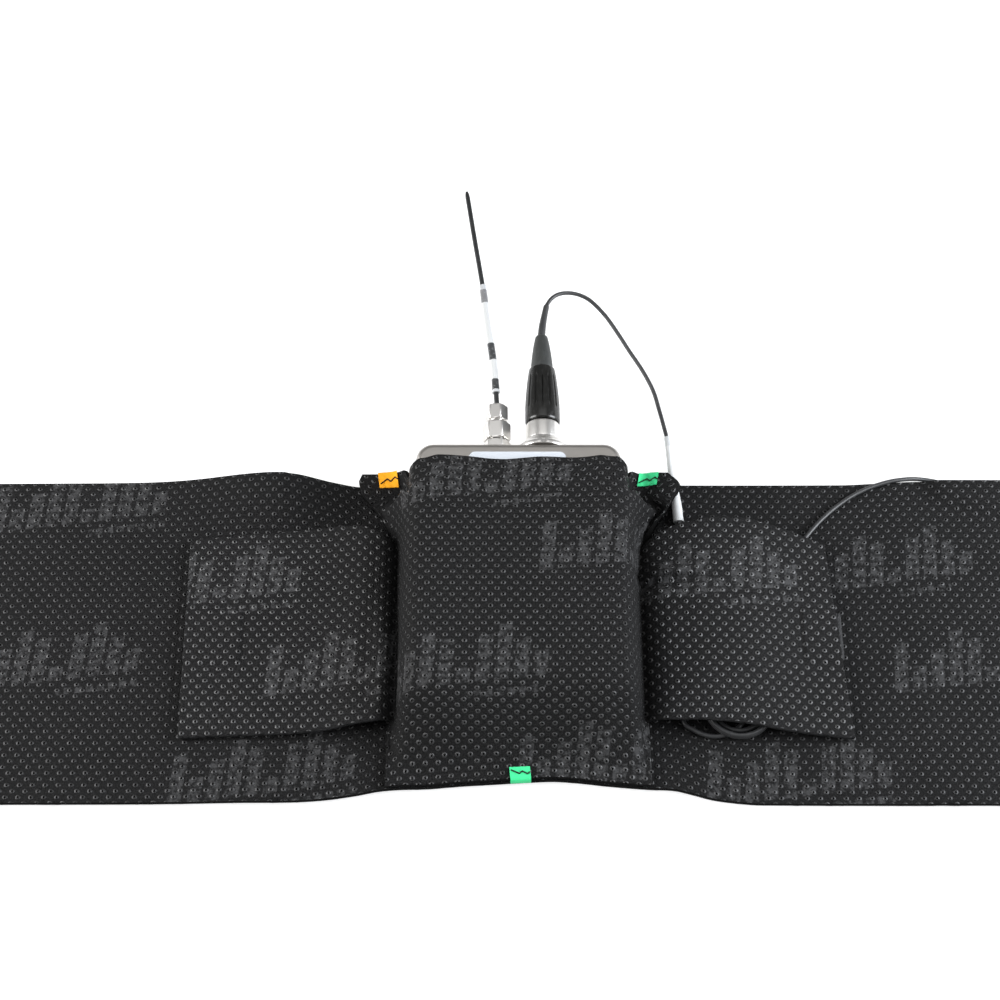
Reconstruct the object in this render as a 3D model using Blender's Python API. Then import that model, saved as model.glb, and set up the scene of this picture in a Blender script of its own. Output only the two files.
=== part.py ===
"""Body-pack instrument transmitter in the pouch of a dimpled fabric strap.

The strap lies flat with its back on the ground (z = 0).  +X runs along the strap, +Y towards the
antenna, +Z out of the strap's front.  Dimensions below are millimetres; objects are built in metres.
"""
import math

import bmesh
import bpy
from mathutils import Matrix, Vector

MM = 0.001

# ---- strap ---------------------------------------------------------------------------------
BAND_HALF_LENGTH = 300.0
BAND_LOW, BAND_HIGH = -54.0, 52.5          # the strap's two long edges, in y
BAND_WAIST = 6.8                           # how far the lower edge is drawn in under the pouch
BAND_THICK = 2.5
CLOTH = 2.2                                # pouch and flap fabric
LAY = 0.3                                  # gap between pieces that lie on each other

POUCH_LOW, POUCH_HIGH = -47.0, 55.3        # sewn lower edge, upper edge of the wings
POUCH_WALL = 36.5                          # foot of the pouch's side walls, either side of x = 0
POUCH_TOP = 20.6                           # inside height over the transmitter
SLOPE_START = -15.5                        # the front starts to fall here, down to POUCH_LOW

FLAP_ROOT = 47.5                           # hinge line of either flap, either side of x = 0
FLAP_RISE = 7.4                            # underside of a flap over its pocket
FLAP_REST = 4.3                            # underside of a flap over its hook patch

# ---- transmitter (built about its own centreline, then shifted with the pouch's bulge) -------
PACK_X = -0.9                              # the transmitter's centreline, off the strap's middle
CASE_HALF_WIDTH = 32.7
CASE_LOW, CASE_HIGH = -15.0, 59.0
CASE_BACK, CASE_FRONT = 3.0, 20.0
CASE_WALL = 1.5
CASE_CORNER = 5.5
COVER_THICK = 1.1
MID = 11.5                                 # height of both connectors' axes

ANTENNA_X = -6.9
AUDIO_X = 8.05
SWITCH_X = -22.0
LED_X = 17.8
KNOB_X = 23.9

DOOR_AXIS = (-13.95, 4.3)                  # y, z of the battery door's hinge
BATTERY_RADIUS, BATTERY_LENGTH = 7.1, 49.3
BATTERY_LOW = -9.4
LEFT_CELL_X, RIGHT_CELL_X = -23.4, -8.4

# ---- cord ----------------------------------------------------------------------------------
CORD = 1.4                                 # diameter
POCKET_COIL = (61.0, -21.5)
POCKET_COIL_RADII = (9.4, 13.0)
TAIL_COIL = (196.0, 78.0)
TAIL_COIL_RADII = (8.2, 11.0)

LEAD_IN = [(9.15, 116.1, 11.5), (10.2, 118.1, 11.3), (11.7, 119.8, 11.1), (13.6, 121.0, 10.8),
           (16.0, 121.7, 10.3), (18.5, 121.9, 9.6), (21.2, 121.5, 8.8), (24.1, 120.2, 7.9),
           (27.6, 117.0, 6.8), (30.5, 113.5, 5.8), (34.0, 108.2, 4.5), (37.3, 102.8, 3.3),
           (41.6, 95.8, 2.2), (45.0, 88.4, 1.4), (46.7, 81.0, 1.4), (47.8, 74.9, 2.1),
           (48.5, 69.9, 3.3)]
MARKER = [(48.6, 69.4, 3.4), (48.8, 65.5, 4.0), (49.0, 60.5, 4.3), (49.4, 55.0, 4.3),
          (50.0, 49.2, 4.3), (50.6, 43.6, 4.2), (50.9, 38.2, 4.2)]
POCKET_ENTRY = [(50.9, 37.8, 4.1), (51.0, 31.0, 3.8), (50.6, 22.0, 3.5), (50.0, 12.0, 3.5),
                (49.6, 2.0, 3.5), (49.4, -7.0, 3.5), (49.5, -13.8, 3.6)]
LEAD_OUT = [(72.9, -13.8, 4.9), (73.6, -6.0, 4.4), (76.0, 4.0, 3.8), (80.0, 14.0, 3.5),
            (85.0, 23.5, 3.5), (89.5, 30.2, 3.6), (92.6, 34.2, 3.7), (97.4, 39.5, 3.6),
            (103.2, 44.6, 3.5), (109.0, 48.5, 3.5), (114.7, 51.2, 3.5), (120.4, 53.1, 3.4),
            (124.6, 54.0, 3.1), (128.4, 54.6, 2.5), (132.0, 54.8, 1.7), (136.4, 54.4, 1.0),
            (141.0, 53.2, 0.9), (146.0, 51.4, 0.9),
            (152.0, 49.6, 0.9), (158.5, 48.8, 0.9), (165.0, 49.2, 0.9), (171.0, 51.0, 0.9),
            (176.5, 54.0, 0.9), (181.0, 58.2, 0.9), (184.3, 63.0, 0.9), (186.0, 67.5, 0.9),
            (186.3, 71.4, 1.1)]
UNDER_BAND = LEAD_OUT[16:24]
JACK_LEAD = [(200.6, 89.6, 1.5), (204.0, 90.0, 2.2), (208.5, 90.1, 3.5), (213.0, 90.1, 4.7),
             (218.0, 90.1, 5.5)]
JACK_AXIS = (90.1, 5.6)                    # y, z of the guitar plug's axis
JACK_START = 218.3

WHIP = [(-6.9, 76.9, 11.5), (-7.8, 90.6, 11.5), (-9.3, 103.0, 11.5), (-10.6, 113.0, 11.5),
        (-11.9, 124.1, 11.5), (-14.8, 143.5, 11.5), (-17.6, 162.9, 11.5)]

FINISHES = {
    "black_fabric": ((0.022, 0.023, 0.026), 0.0, 0.95),
    "hook_fabric": ((0.015, 0.015, 0.016), 0.0, 0.9),
    "orange_tag": ((0.95, 0.20, 0.03), 0.0, 0.8),
    "green_tag": ((0.05, 0.72, 0.22), 0.0, 0.8),
    "nickel": ((0.60, 0.57, 0.53), 1.0, 0.32),
    "connector_metal": ((0.72, 0.70, 0.68), 1.0, 0.22),
    "label_white": ((0.86, 0.87, 0.88), 0.0, 0.4),
    "black_plastic": ((0.012, 0.012, 0.013), 0.0, 0.35),
    "boot_rubber": ((0.075, 0.08, 0.082), 0.0, 0.6),
    "whip_rubber": ((0.02, 0.021, 0.023), 0.0, 0.5),
    "sleeve_white": ((0.82, 0.83, 0.83), 0.0, 0.35),
    "cord_jacket": ((0.085, 0.088, 0.092), 0.0, 0.6),
    "circuit_board": ((0.02, 0.16, 0.07), 0.0, 0.5),
    "cell_wrap": ((0.05, 0.06, 0.07), 0.3, 0.35),
    "brass_contact": ((0.80, 0.62, 0.30), 1.0, 0.3),
    "led_lens": ((0.30, 0.70, 0.35), 0.0, 0.2),
}


# ---- building blocks -----------------------------------------------------------------------
def finish(name):
    """The Principled material of this name, made once."""
    material = bpy.data.materials.get(name)
    if material is None:
        colour, metallic, roughness = FINISHES[name]
        material = bpy.data.materials.new(name)
        material.use_nodes = True
        shader = material.node_tree.nodes["Principled BSDF"]
        shader.inputs["Base Color"].default_value = (*colour, 1.0)
        shader.inputs["Metallic"].default_value = metallic
        shader.inputs["Roughness"].default_value = roughness
        material.diffuse_color = (*colour, 1.0)
    return material


def add_node(name, bm, finish_name, pivot=(0.0, 0.0, 0.0), smooth=False):
    """Turn a bmesh in frame millimetres into an object in metres with its origin at the pivot."""
    bmesh.ops.translate(bm, verts=bm.verts, vec=-Vector(pivot))
    bmesh.ops.scale(bm, verts=bm.verts, vec=(MM, MM, MM))
    bmesh.ops.recalc_face_normals(bm, faces=bm.faces)
    mesh = bpy.data.meshes.new(name)
    bm.to_mesh(mesh)
    bm.free()
    mesh.materials.append(finish(finish_name))
    if smooth:
        mesh.shade_smooth()
    node = bpy.data.objects.new(name, mesh)
    node.location = Vector(pivot) * MM
    bpy.context.scene.collection.objects.link(node)
    return node


def join_rings(bm, rings, closed_path=False, caps=True):
    """Skin a list of equal vertex rings."""
    last = len(rings) if closed_path else len(rings) - 1
    count = len(rings[0])
    for index in range(last):
        here, there = rings[index], rings[(index + 1) % len(rings)]
        for k in range(count):
            bm.faces.new((here[k], here[(k + 1) % count], there[(k + 1) % count], there[k]))
    if caps and not closed_path:
        bm.faces.new(rings[0])
        bm.faces.new(reversed(rings[-1]))


AXES = {"X": Matrix(((0, 0, 1), (1, 0, 0), (0, 1, 0))),
        "Y": Matrix(((0, 1, 0), (0, 0, 1), (1, 0, 0))),
        "Z": Matrix.Identity(3)}


def turned(profile, axis, centre, segments=32, section=False, flute=None):
    """Revolve (radius, height) points about an axis through the centre.

    An open profile becomes a solid with flat ends; section=True revolves a closed loop of points.
    flute(angle, height) may scale the radius.
    """
    bm = bmesh.new()
    rings = []
    for radius, height in profile:
        ring = []
        for k in range(segments):
            angle = 2 * math.pi * k / segments
            reach = radius * (flute(angle, height) if flute else 1.0)
            local = Vector((reach * math.cos(angle), reach * math.sin(angle), height))
            ring.append(bm.verts.new(AXES[axis] @ local + Vector(centre)))
        rings.append(ring)
    join_rings(bm, rings, closed_path=section)
    return bm


def prism(outline, axis, low, high, bevel=0.0, bevel_where=None):
    """Extrude an outline of (u, v) points along an axis from low to high.

    The outline's plane is (x, y) for Z, (z, x) for Y and (y, z) for X.
    """
    bm = bmesh.new()
    base = [bm.verts.new(AXES[axis] @ Vector((u, v, low))) for u, v in outline]
    face = bm.faces.new(base)
    grown = bmesh.ops.extrude_face_region(bm, geom=[face])
    tops = [item for item in grown["geom"] if isinstance(item, bmesh.types.BMVert)]
    bmesh.ops.translate(bm, verts=tops, vec=AXES[axis] @ Vector((0, 0, high - low)))
    if bevel:
        edges = [e for e in bm.edges if bevel_where is None or bevel_where(e)]
        bmesh.ops.bevel(bm, geom=edges, offset=bevel, segments=2, profile=0.5, affect="EDGES")
    return bm


def block(x, y, z, bevel=0.0):
    """A box between two corners given as (low, high) pairs."""
    outline = [(x[0], y[0]), (x[1], y[0]), (x[1], y[1]), (x[0], y[1])]
    return prism(outline, "Z", z[0], z[1], bevel)


def rounded_outline(x, y, radii, steps=6):
    """A rectangle's outline with its own radius at each corner, from the low-x low-y one round."""
    corners = [(x[0], y[0], 180), (x[1], y[0], 270), (x[1], y[1], 0), (x[0], y[1], 90)]
    inward = [(1, 1), (-1, 1), (-1, -1), (1, -1)]
    outline = []
    for (cx, cy, start), (sx, sy), radius in zip(corners, inward, radii):
        if radius == 0:
            outline.append((cx, cy))
            continue
        for k in range(steps + 1):
            angle = math.radians(start + 90 * k / steps)
            outline.append((cx + sx * radius + radius * math.cos(angle),
                            cy + sy * radius + radius * math.sin(angle)))
    return outline


def hexagon(flats, centre_u, centre_v, turn=0.0):
    """The outline of a hexagon, given its size across flats."""
    radius = flats / math.sqrt(3)
    return [(centre_u + radius * math.cos(math.radians(60 * k + turn)),
             centre_v + radius * math.sin(math.radians(60 * k + turn))) for k in range(6)]


def shell_between(lower, upper):
    """Close two equal grids of points into one solid; the grids share no points."""
    bm = bmesh.new()
    low = [[bm.verts.new(p) for p in row] for row in lower]
    high = [[bm.verts.new(p) for p in row] for row in upper]
    rows, columns = len(low), len(low[0])
    for i in range(rows - 1):
        for j in range(columns - 1):
            bm.faces.new((low[i][j], low[i][j + 1], low[i + 1][j + 1], low[i + 1][j]))
            bm.faces.new((high[i][j], high[i + 1][j], high[i + 1][j + 1], high[i][j + 1]))
    rim = ([(0, j) for j in range(columns)] + [(i, columns - 1) for i in range(1, rows)]
           + [(rows - 1, j) for j in range(columns - 2, -1, -1)] + [(i, 0) for i in range(rows - 2, 0, -1)])
    for (i, j), (m, n) in zip(rim, rim[1:] + rim[:1]):
        bm.faces.new((low[i][j], low[m][n], high[m][n], high[i][j]))
    return bm


def smooth_route(points, spacing):
    """Evenly spaced points on the Catmull-Rom curve through the given points."""
    knots = [Vector(p) for p in points]
    knots = [2 * knots[0] - knots[1]] + knots + [2 * knots[-1] - knots[-2]]
    fine = []
    for a, b, c, d in zip(knots, knots[1:], knots[2:], knots[3:]):
        for k in range(12):
            t = k / 12
            fine.append(0.5 * (2 * b + (c - a) * t + (2 * a - 5 * b + 4 * c - d) * t ** 2
                               + (3 * b - a - 3 * c + d) * t ** 3))
    fine.append(knots[-2])
    lengths = [0.0]
    for a, b in zip(fine, fine[1:]):
        lengths.append(lengths[-1] + (b - a).length)
    steps = max(2, round(lengths[-1] / spacing))
    even, cursor = [], 0
    for k in range(steps + 1):
        target = lengths[-1] * k / steps
        while cursor < len(fine) - 2 and lengths[cursor + 1] < target:
            cursor += 1
        share = (target - lengths[cursor]) / max(lengths[cursor + 1] - lengths[cursor], 1e-9)
        even.append(fine[cursor].lerp(fine[cursor + 1], min(max(share, 0.0), 1.0)))
    return even


def tube(name, points, diameter, finish_name, spacing, pivot=(0.0, 0.0, 0.0)):
    """A round tube with filled ends along the smooth route through the points."""
    data = bpy.data.curves.new(name, "CURVE")
    data.dimensions = "3D"
    data.bevel_depth = diameter / 2 * MM
    data.bevel_resolution = 2
    data.use_fill_caps = True
    route = smooth_route(points, spacing)
    spline = data.splines.new("POLY")
    spline.points.add(len(route) - 1)
    for knot, place in zip(spline.points, route):
        knot.co = (*((place - Vector(pivot)) * MM), 1.0)
    data.materials.append(finish(finish_name))
    node = bpy.data.objects.new(name, data)
    node.location = Vector(pivot) * MM
    bpy.context.scene.collection.objects.link(node)
    return node


def cut(node, cutters):
    """Subtract each bmesh (in frame millimetres) from the node."""
    for number, bm in enumerate(cutters):
        cutter = add_node(f"{node.name}_cutter_{number}", bm, "black_plastic")
        cutter.hide_render = True
        cutter.display_type = "WIRE"
        step = node.modifiers.new(f"cut_{number}", "BOOLEAN")
        step.operation = "DIFFERENCE"
        step.solver = "EXACT"
        step.object = cutter


def ease(value, start, end):
    """0 before start, 1 after end, smooth between them."""
    t = min(max((value - start) / (end - start), 0.0), 1.0)
    return t * t * (3 - 2 * t)


def between(value, table):
    """Straight-line reading of a table of (key, result) pairs in rising key order."""
    if value <= table[0][0]:
        return table[0][1]
    for (k0, r0), (k1, r1) in zip(table, table[1:]):
        if value <= k1:
            return r0 + (r1 - r0) * (value - k0) / (k1 - k0)
    return table[-1][1]


# ---- strap ---------------------------------------------------------------------------------
def strap_low(x):
    """The strap's lower edge, drawn in where the pouch's full shape pulls on the fabric."""
    return BAND_LOW + BAND_WAIST * max(0.0, 1 - ((x - 1.0) / 65.0) ** 2) ** 1.15


def band_lift(x, y):
    """How far the strap is pushed up by the cord that runs under its upper edge."""
    place = Vector((x, y))
    gap = min((place - Vector(p[:2]).lerp(Vector(q[:2]), k / 4)).length
              for p, q in zip(UNDER_BAND, UNDER_BAND[1:]) for k in range(5))
    return 2.2 * (1 - ease(gap, 3.6, 11.0))


def build_band():
    columns = ([-BAND_HALF_LENGTH, -150.0] + [1.0 + 6.5 * k for k in range(-10, 11)] + [120.0]
               + [123.0 + 3.0 * k for k in range(27)] + [210.0, BAND_HALF_LENGTH])
    rows = [BAND_LOW, -10.0, 30.0] + [33.0 + 3.0 * k for k in range(6)] + [50.5, BAND_HIGH]
    lower = [[(x, strap_low(x) if y == BAND_LOW else y, band_lift(x, y)) for x in columns] for y in rows]
    upper = [[(x, y, z + BAND_THICK) for x, y, z in row] for row in lower]
    bm = shell_between(lower, upper)
    bmesh.ops.dissolve_limit(bm, angle_limit=math.radians(0.3), verts=bm.verts, edges=bm.edges)
    add_node("belt_band", bm, "black_fabric")
    end = BAND_HALF_LENGTH
    add_node("belt_hook_tab", block((-end - 38.0, -end - 0.4), (-40.0, 39.0), (0.2, 2.4), 0.4),
             "hook_fabric")
    add_node("belt_loop_pad", block((end - 92.0, end - 4.0), (-42.0, 30.0),
                                    (BAND_THICK + 0.2, BAND_THICK + 1.6), 0.3), "hook_fabric")


POUCH_LEFT_EDGE = [(POUCH_LOW, -40.6), (26.0, -40.4), (34.2, -42.6), (47.8, -51.7), (51.5, -52.2)]
POUCH_RIGHT_EDGE = [(POUCH_LOW, 39.5), (29.0, 39.2), (37.5, 43.2), (48.4, 51.2), (51.5, 51.8)]


def pouch_lift(y):
    """1 over the transmitter, easing to 0 at the pouch's sewn lower edge."""
    along = min(max((SLOPE_START - y) / (SLOPE_START - POUCH_LOW), 0.0), 1.0)
    return 0.5 * (1 + math.cos(math.pi * along))


def pouch_profile(y):
    """The pouch front's inner (x, z) points across the strap at one y, and its outer ones."""
    rest = BAND_THICK + LAY
    wall = [(POUCH_WALL, 0.0), (34.5, 1.4), (33.7, 5.5), (33.5, 10.5), (33.5, 15.3), (32.7, 17.1),
            (30.6, 17.8)]
    outer_wall = [(POUCH_WALL + 0.6, CLOTH), (36.3, 2.9), (35.9, 5.7), (35.7, 11.0), (35.6, 16.2),
                  (34.2, 19.0), (31.0, 20.0)]
    lift = pouch_lift(y)
    left_edge, right_edge = between(y, POUCH_LEFT_EDGE), between(y, POUCH_RIGHT_EDGE)
    over_cord = 3.0 * ease(y, 24.0, 42.0)

    def wing(edge, raised):
        points = []
        for t in (0.0, 0.18, 0.34, 0.47, 0.6, 0.8):
            x = edge + (PACK_X + math.copysign(POUCH_WALL + 0.6, edge) - edge) * t
            points.append((x, rest + raised * (1 - ease(t, 0.32, 0.62))))
        return points

    left_wing, right_wing = wing(left_edge, 0.0), wing(right_edge, over_cord)
    top = [(x, POUCH_TOP - rest) for x in (22.0, 11.0, 0.0, -11.0, -22.0)]

    def across(side_points, crown, thick):
        """Wing, wall, crown, wall, wing from left to right; walls flatten as the pouch slopes."""
        raised = [(x + PACK_X, rest + thick + (z - thick) * lift) for x, z in side_points]
        left = [(2 * PACK_X - x, z) for x, z in raised]
        middle = [(PACK_X - x, rest + thick + (z - thick) * lift) for x, z in crown]
        return ([(x, z + thick) for x, z in left_wing] + left + middle
                + list(reversed(raised)) + [(x, z + thick) for x, z in reversed(right_wing)])

    inner = across(wall, top, 0.0)
    outer = across(outer_wall, [(x, z + CLOTH) for x, z in top], CLOTH)
    return inner, outer


def mouth(x):
    """The pouch's upper edge: lowest in the middle of the opening, highest along the wings."""
    off = abs(x - PACK_X)
    if off < 34.0:
        return 51.8 + 2.2 * (off / 34.0) ** 2
    return 54.0 + (POUCH_HIGH - 54.0) * ease(off, 34.0, 40.0)


def cut_line(x, y):
    """y after the pouch's upper and lower edges have been cut to their curves."""
    upper = (mouth(x) - POUCH_HIGH) * ease(y, 30.0, POUCH_HIGH)
    lower = (strap_low(x) + 0.4 - POUCH_LOW) * (1 - ease(y, POUCH_LOW, -30.0))
    return y + upper + lower


def build_pouch():
    rows = [POUCH_LOW, -45.4, -43.0, -39.5, -36.0, -32.0, -28.0, -24.0, -20.0, -17.0, -14.0, 0.0,
            12.0, 20.0, 26.0, 31.0, 36.0, 41.0, 46.0, 50.0, POUCH_HIGH]
    lower, upper = [], []
    for y in rows:
        inner, outer = pouch_profile(y)
        lower.append([(x, cut_line(x, y), z) for x, z in inner])
        upper.append([(x, cut_line(x, y), z) for x, z in outer])
    add_node("pouch_front", shell_between(lower, upper), "black_fabric")


FLAP_TOP_EDGE = {-1: [(47.5, 35.2), (106.0, 31.5)],
                 1: [(47.5, 36.6), (56.0, 37.7), (70.5, 38.1), (89.6, 35.3), (101.5, 29.7)]}
FLAP_LOW_EDGE = {-1: [(47.5, -29.0), (106.0, -33.2)], 1: [(47.5, -28.6), (70.0, -29.6), (101.5, -33.0)]}
FLAP_END = {-1: 106.0, 1: 101.5}


def flap_under(reach):
    """Height of a flap's underside at a distance from x = 0."""
    return FLAP_RISE - (FLAP_RISE - FLAP_REST) * ease(reach, 76.0, 93.0)


def build_flap(side, label):
    stations = [FLAP_ROOT, 54.0, 62.0, 70.0, 76.0, 80.0, 84.0, 88.0, 92.0, 97.0, FLAP_END[side]]
    shares = [0.0, 0.2, 0.4, 0.6, 0.8, 1.0]
    lower, upper = [], []
    for reach in stations:
        low, high = between(reach, FLAP_LOW_EDGE[side]), between(reach, FLAP_TOP_EDGE[side])
        row = [(side * reach, low + (high - low) * t, flap_under(reach)) for t in shares]
        lower.append(row)
        upper.append([(x, y, z + CLOTH) for x, y, z in row])
    pivot = (side * FLAP_ROOT, 0.0, FLAP_RISE + CLOTH / 2)
    add_node(f"{label}_flap", shell_between(lower, upper), "black_fabric", pivot)
    patch = block(sorted((side * 87.5, side * (FLAP_END[side] - 1.0))), (-8.5, 7.0),
                  (BAND_THICK + 0.35, FLAP_REST - 0.15), 0.3)
    add_node(f"{label}_flap_hook_patch", patch, "hook_fabric", pivot)
    foot = BAND_THICK + 0.2
    gusset = block(sorted((side * (FLAP_ROOT - 2.5), side * (FLAP_ROOT - 0.6))), (-28.0, 28.0),
                   (foot, FLAP_RISE + 0.6), 0.3)
    add_node(f"{label}_pocket_gusset", gusset, "black_fabric")


def build_tags():
    """Three small stitched tags folded over the fabric's edges."""
    left = BAND_THICK + LAY + CLOTH
    right = left + 2.8
    for name, x, base, finish_name in (("orange_size_tag", -43.5, left, "orange_tag"),
                                       ("green_size_tag", 42.1, right, "green_tag")):
        fold = [(51.0, base + 0.25), (55.6, base + 0.25), (55.6, base - 2.6), (56.1, base - 2.6),
                (56.1, base + 0.8), (51.0, base + 0.8)]
        add_node(name, prism(fold, "X", x - 3.6, x + 3.6), finish_name)
    edge = strap_low(0.0)
    fold = [(edge + 4.2, left + 0.9), (edge - 0.1, left + 0.35), (edge - 0.1, BAND_THICK + LAY),
            (edge - 0.6, BAND_THICK + LAY), (edge - 0.6, left + 0.9), (edge + 4.2, left + 1.45)]
    add_node("lower_edge_tag", prism(fold, "X", -3.6, 3.6), "green_tag")


# ---- transmitter case ----------------------------------------------------------------------
def build_case():
    inside = CASE_HALF_WIDTH - CASE_WALL
    outline = rounded_outline((-CASE_HALF_WIDTH, CASE_HALF_WIDTH), (CASE_LOW, CASE_HIGH),
                              (1.0, 1.0, CASE_CORNER, CASE_CORNER))
    front = lambda e: all(v.co.z > CASE_FRONT - 0.01 for v in e.verts)
    body = add_node("case_body", prism(outline, "Z", CASE_BACK, CASE_FRONT, 1.6, front), "nickel")
    cavity_front = CASE_FRONT - 1.2
    cavity = prism(rounded_outline((-inside, inside), (CASE_LOW - 5.0, CASE_HIGH - CASE_WALL),
                                   (0, 0, 4.0, 4.0)), "Z", CASE_BACK - 5.0, cavity_front)
    holes = [turned([(5.75, 40.0), (5.75, 70.0)], "Y", (AUDIO_X, 0, MID)),
             turned([(3.4, 40.0), (3.4, 70.0)], "Y", (ANTENNA_X, 0, MID), 24),
             turned([(1.45, 40.0), (1.45, 70.0)], "Y", (LED_X, 0, MID), 16),
             turned([(2.9, 40.0), (2.9, 70.0)], "Y", (KNOB_X, 0, MID), 24),
             block((SWITCH_X - 4.6, SWITCH_X + 4.6), (50.0, 70.0), (MID - 1.9, MID + 1.9)),
             turned([(0.8, -40.0), (0.8, 40.0)], "X", (0, *DOOR_AXIS), 12)]
    cut(body, [cavity] + holes)

    cover_outline = rounded_outline((-inside + 0.2, inside - 0.2), (-12.0, CASE_HIGH - CASE_WALL - 0.2),
                                    (0.5, 0.5, 3.8, 3.8))
    cover = add_node("rear_cover", prism(cover_outline, "Z", CASE_BACK, CASE_BACK + COVER_THICK),
                     "nickel")
    places = [(-27.3, 53.6), (27.3, 53.6), (27.8, -8.4)]
    cut(cover, [turned([(1.9, 0.0), (1.9, 6.0)], "Z", (x, y, 0), 16) for x, y in places])
    for number, (x, y) in enumerate(places, 1):
        screw = [(1.2, 3.1), (1.65, 3.3), (1.65, 4.1), (0.9, 4.2), (0.9, 6.6)]
        add_node(f"cover_screw_{number}", turned(screw, "Z", (x, y, 0), 16), "connector_metal",
                 smooth=False)

    label = prism(rounded_outline((-15.8, 15.1), (28.0, 55.5), (2.0, 2.0, 2.0, 2.0), 4), "Z",
                  CASE_FRONT + 0.05, CASE_FRONT + 0.25)
    add_node("face_label", label, "label_white")


def build_door():
    pivot = (0.0, *DOOR_AXIS)
    inside = CASE_HALF_WIDTH - CASE_WALL - 0.3
    door = add_node("battery_door", block((-inside, inside), (CASE_LOW, CASE_LOW + 2.1), (3.25, 18.5), 0.4),
                    "nickel", pivot)
    bore = add_node("battery_door_bore", turned([(0.85, -40.0), (0.85, 40.0)], "X", (0, *DOOR_AXIS), 12),
                    "nickel")
    bore.hide_render = True
    bore.display_type = "WIRE"
    step = door.modifiers.new("bore", "BOOLEAN")
    step.operation = "DIFFERENCE"
    step.solver = "EXACT"
    step.object = bore
    add_node("door_hinge_pin", turned([(0.55, -32.2), (0.55, 32.2)], "X", (0, *DOOR_AXIS), 12),
             "connector_metal")
    add_node("door_contact_bridge", block((-29.4, -3.0), (-12.7, -12.3), (6.5, 16.5), 0.0),
             "brass_contact", pivot)
    spring("door_contact_spring", LEFT_CELL_X, -12.2, BATTERY_LOW - 0.3, pivot)


def spring(name, x, start, end, pivot=(0.0, 0.0, 0.0)):
    """A conical contact spring along Y, from its wide foot to its narrow nose."""
    turns, steps = 3.0, 12
    points = []
    for k in range(int(turns * steps) + 1):
        share = k / (turns * steps)
        angle = 2 * math.pi * turns * share
        radius = 4.2 - 2.4 * share
        points.append((x + radius * math.cos(angle), start + (end - start) * (0.1 + 0.8 * share),
                       MID + radius * math.sin(angle)))
    tube(name, points, 0.45, "brass_contact", 1.6, pivot)


def build_inside():
    low, high = BATTERY_LOW, BATTERY_LOW + BATTERY_LENGTH
    cell = [(0.9 * BATTERY_RADIUS, 0.0), (BATTERY_RADIUS, 0.6), (BATTERY_RADIUS, BATTERY_LENGTH - 1.6),
            (0.88 * BATTERY_RADIUS, BATTERY_LENGTH - 1.0), (2.7, BATTERY_LENGTH - 0.9),
            (2.6, BATTERY_LENGTH)]
    add_node("battery_left", turned(cell, "Y", (LEFT_CELL_X, low, MID), 28), "cell_wrap")
    flipped = [(radius, BATTERY_LENGTH - height) for radius, height in reversed(cell)]
    add_node("battery_right", turned(flipped, "Y", (RIGHT_CELL_X, low, MID), 28), "cell_wrap")
    add_node("battery_divider", block((-0.9, 0.1), (-11.6, 43.0), (4.4, 18.5)), "black_plastic")
    add_node("terminal_board", block((-30.9, -1.2), (43.3, 44.5), (4.5, 18.4)), "circuit_board")
    spring("terminal_spring", RIGHT_CELL_X, 43.1, high + 0.3)
    add_node("main_board", block((0.8, 30.6), (-5.0, 52.6), (4.5, 5.6)), "circuit_board")
    add_node("radio_shield_can", block((4.5, 26.5), (6.0, 40.0), (5.9, 10.2), 0.4), "connector_metal")


# ---- connectors and controls ---------------------------------------------------------------
def build_top():
    audio, antenna = (AUDIO_X, 0, MID), (ANTENNA_X, 0, MID)
    add_node("audio_socket", turned([(5.6, 44.0), (5.6, 62.8), (4.85, 62.8), (4.85, 47.0), (4.6, 46.6),
                                     (4.6, 44.0)], "Y", audio, 32, section=True), "connector_metal",
             smooth=False)
    ring = [(5.75, 59.15), (7.0, 59.15), (7.0, 62.3), (6.5, 62.9), (5.75, 62.9)]
    add_node("socket_ring_nut", turned(ring, "Y", audio, 40, section=True), "connector_metal")
    pins = turned([(4.3, 44.4), (4.3, 46.2), (0.5, 46.2), (0.5, 53.0)], "Y", audio, 24)
    add_node("socket_insulator", pins, "black_plastic")

    jack = [(3.2, 48.0), (3.2, 59.0), (3.0, 59.2), (3.0, 68.2)]
    add_node("antenna_socket", turned(jack, "Y", antenna, 24), "connector_metal")
    nut = prism(hexagon(8.0, MID, ANTENNA_X, 12.0), "Y", 59.15, 62.9)
    panel_nut = add_node("antenna_panel_nut", nut, "connector_metal")
    cut(panel_nut, [turned([(3.35, 55.0), (3.35, 66.0)], "Y", antenna, 24)])

    add_node("power_led_lens", turned([(1.2, 54.0), (1.2, 59.4), (0.7, 59.8)], "Y", (LED_X, 0, MID), 16),
             "led_lens")
    add_node("power_switch_knob", block((SWITCH_X - 4.2, SWITCH_X - 0.6), (56.9, 60.6),
                                        (MID - 1.5, MID + 1.5), 0.4), "black_plastic",
             (SWITCH_X, CASE_HIGH, MID))
    add_node("gain_potentiometer", block((KNOB_X - 3.6, KNOB_X + 3.6), (49.6, 55.6),
                                         (MID - 3.6, MID + 3.6), 0.3), "black_plastic")
    grip = lambda angle, height: 1.0 + (0.05 * math.cos(10 * angle) if height > 58.0 else 0.0)
    knob = [(2.3, 55.9), (2.5, 56.2), (2.5, 60.4), (2.2, 60.8)]
    add_node("gain_knob", turned(knob, "Y", (KNOB_X, 0, MID), 40, flute=grip), "black_plastic",
             (KNOB_X, CASE_HIGH, MID))


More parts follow.
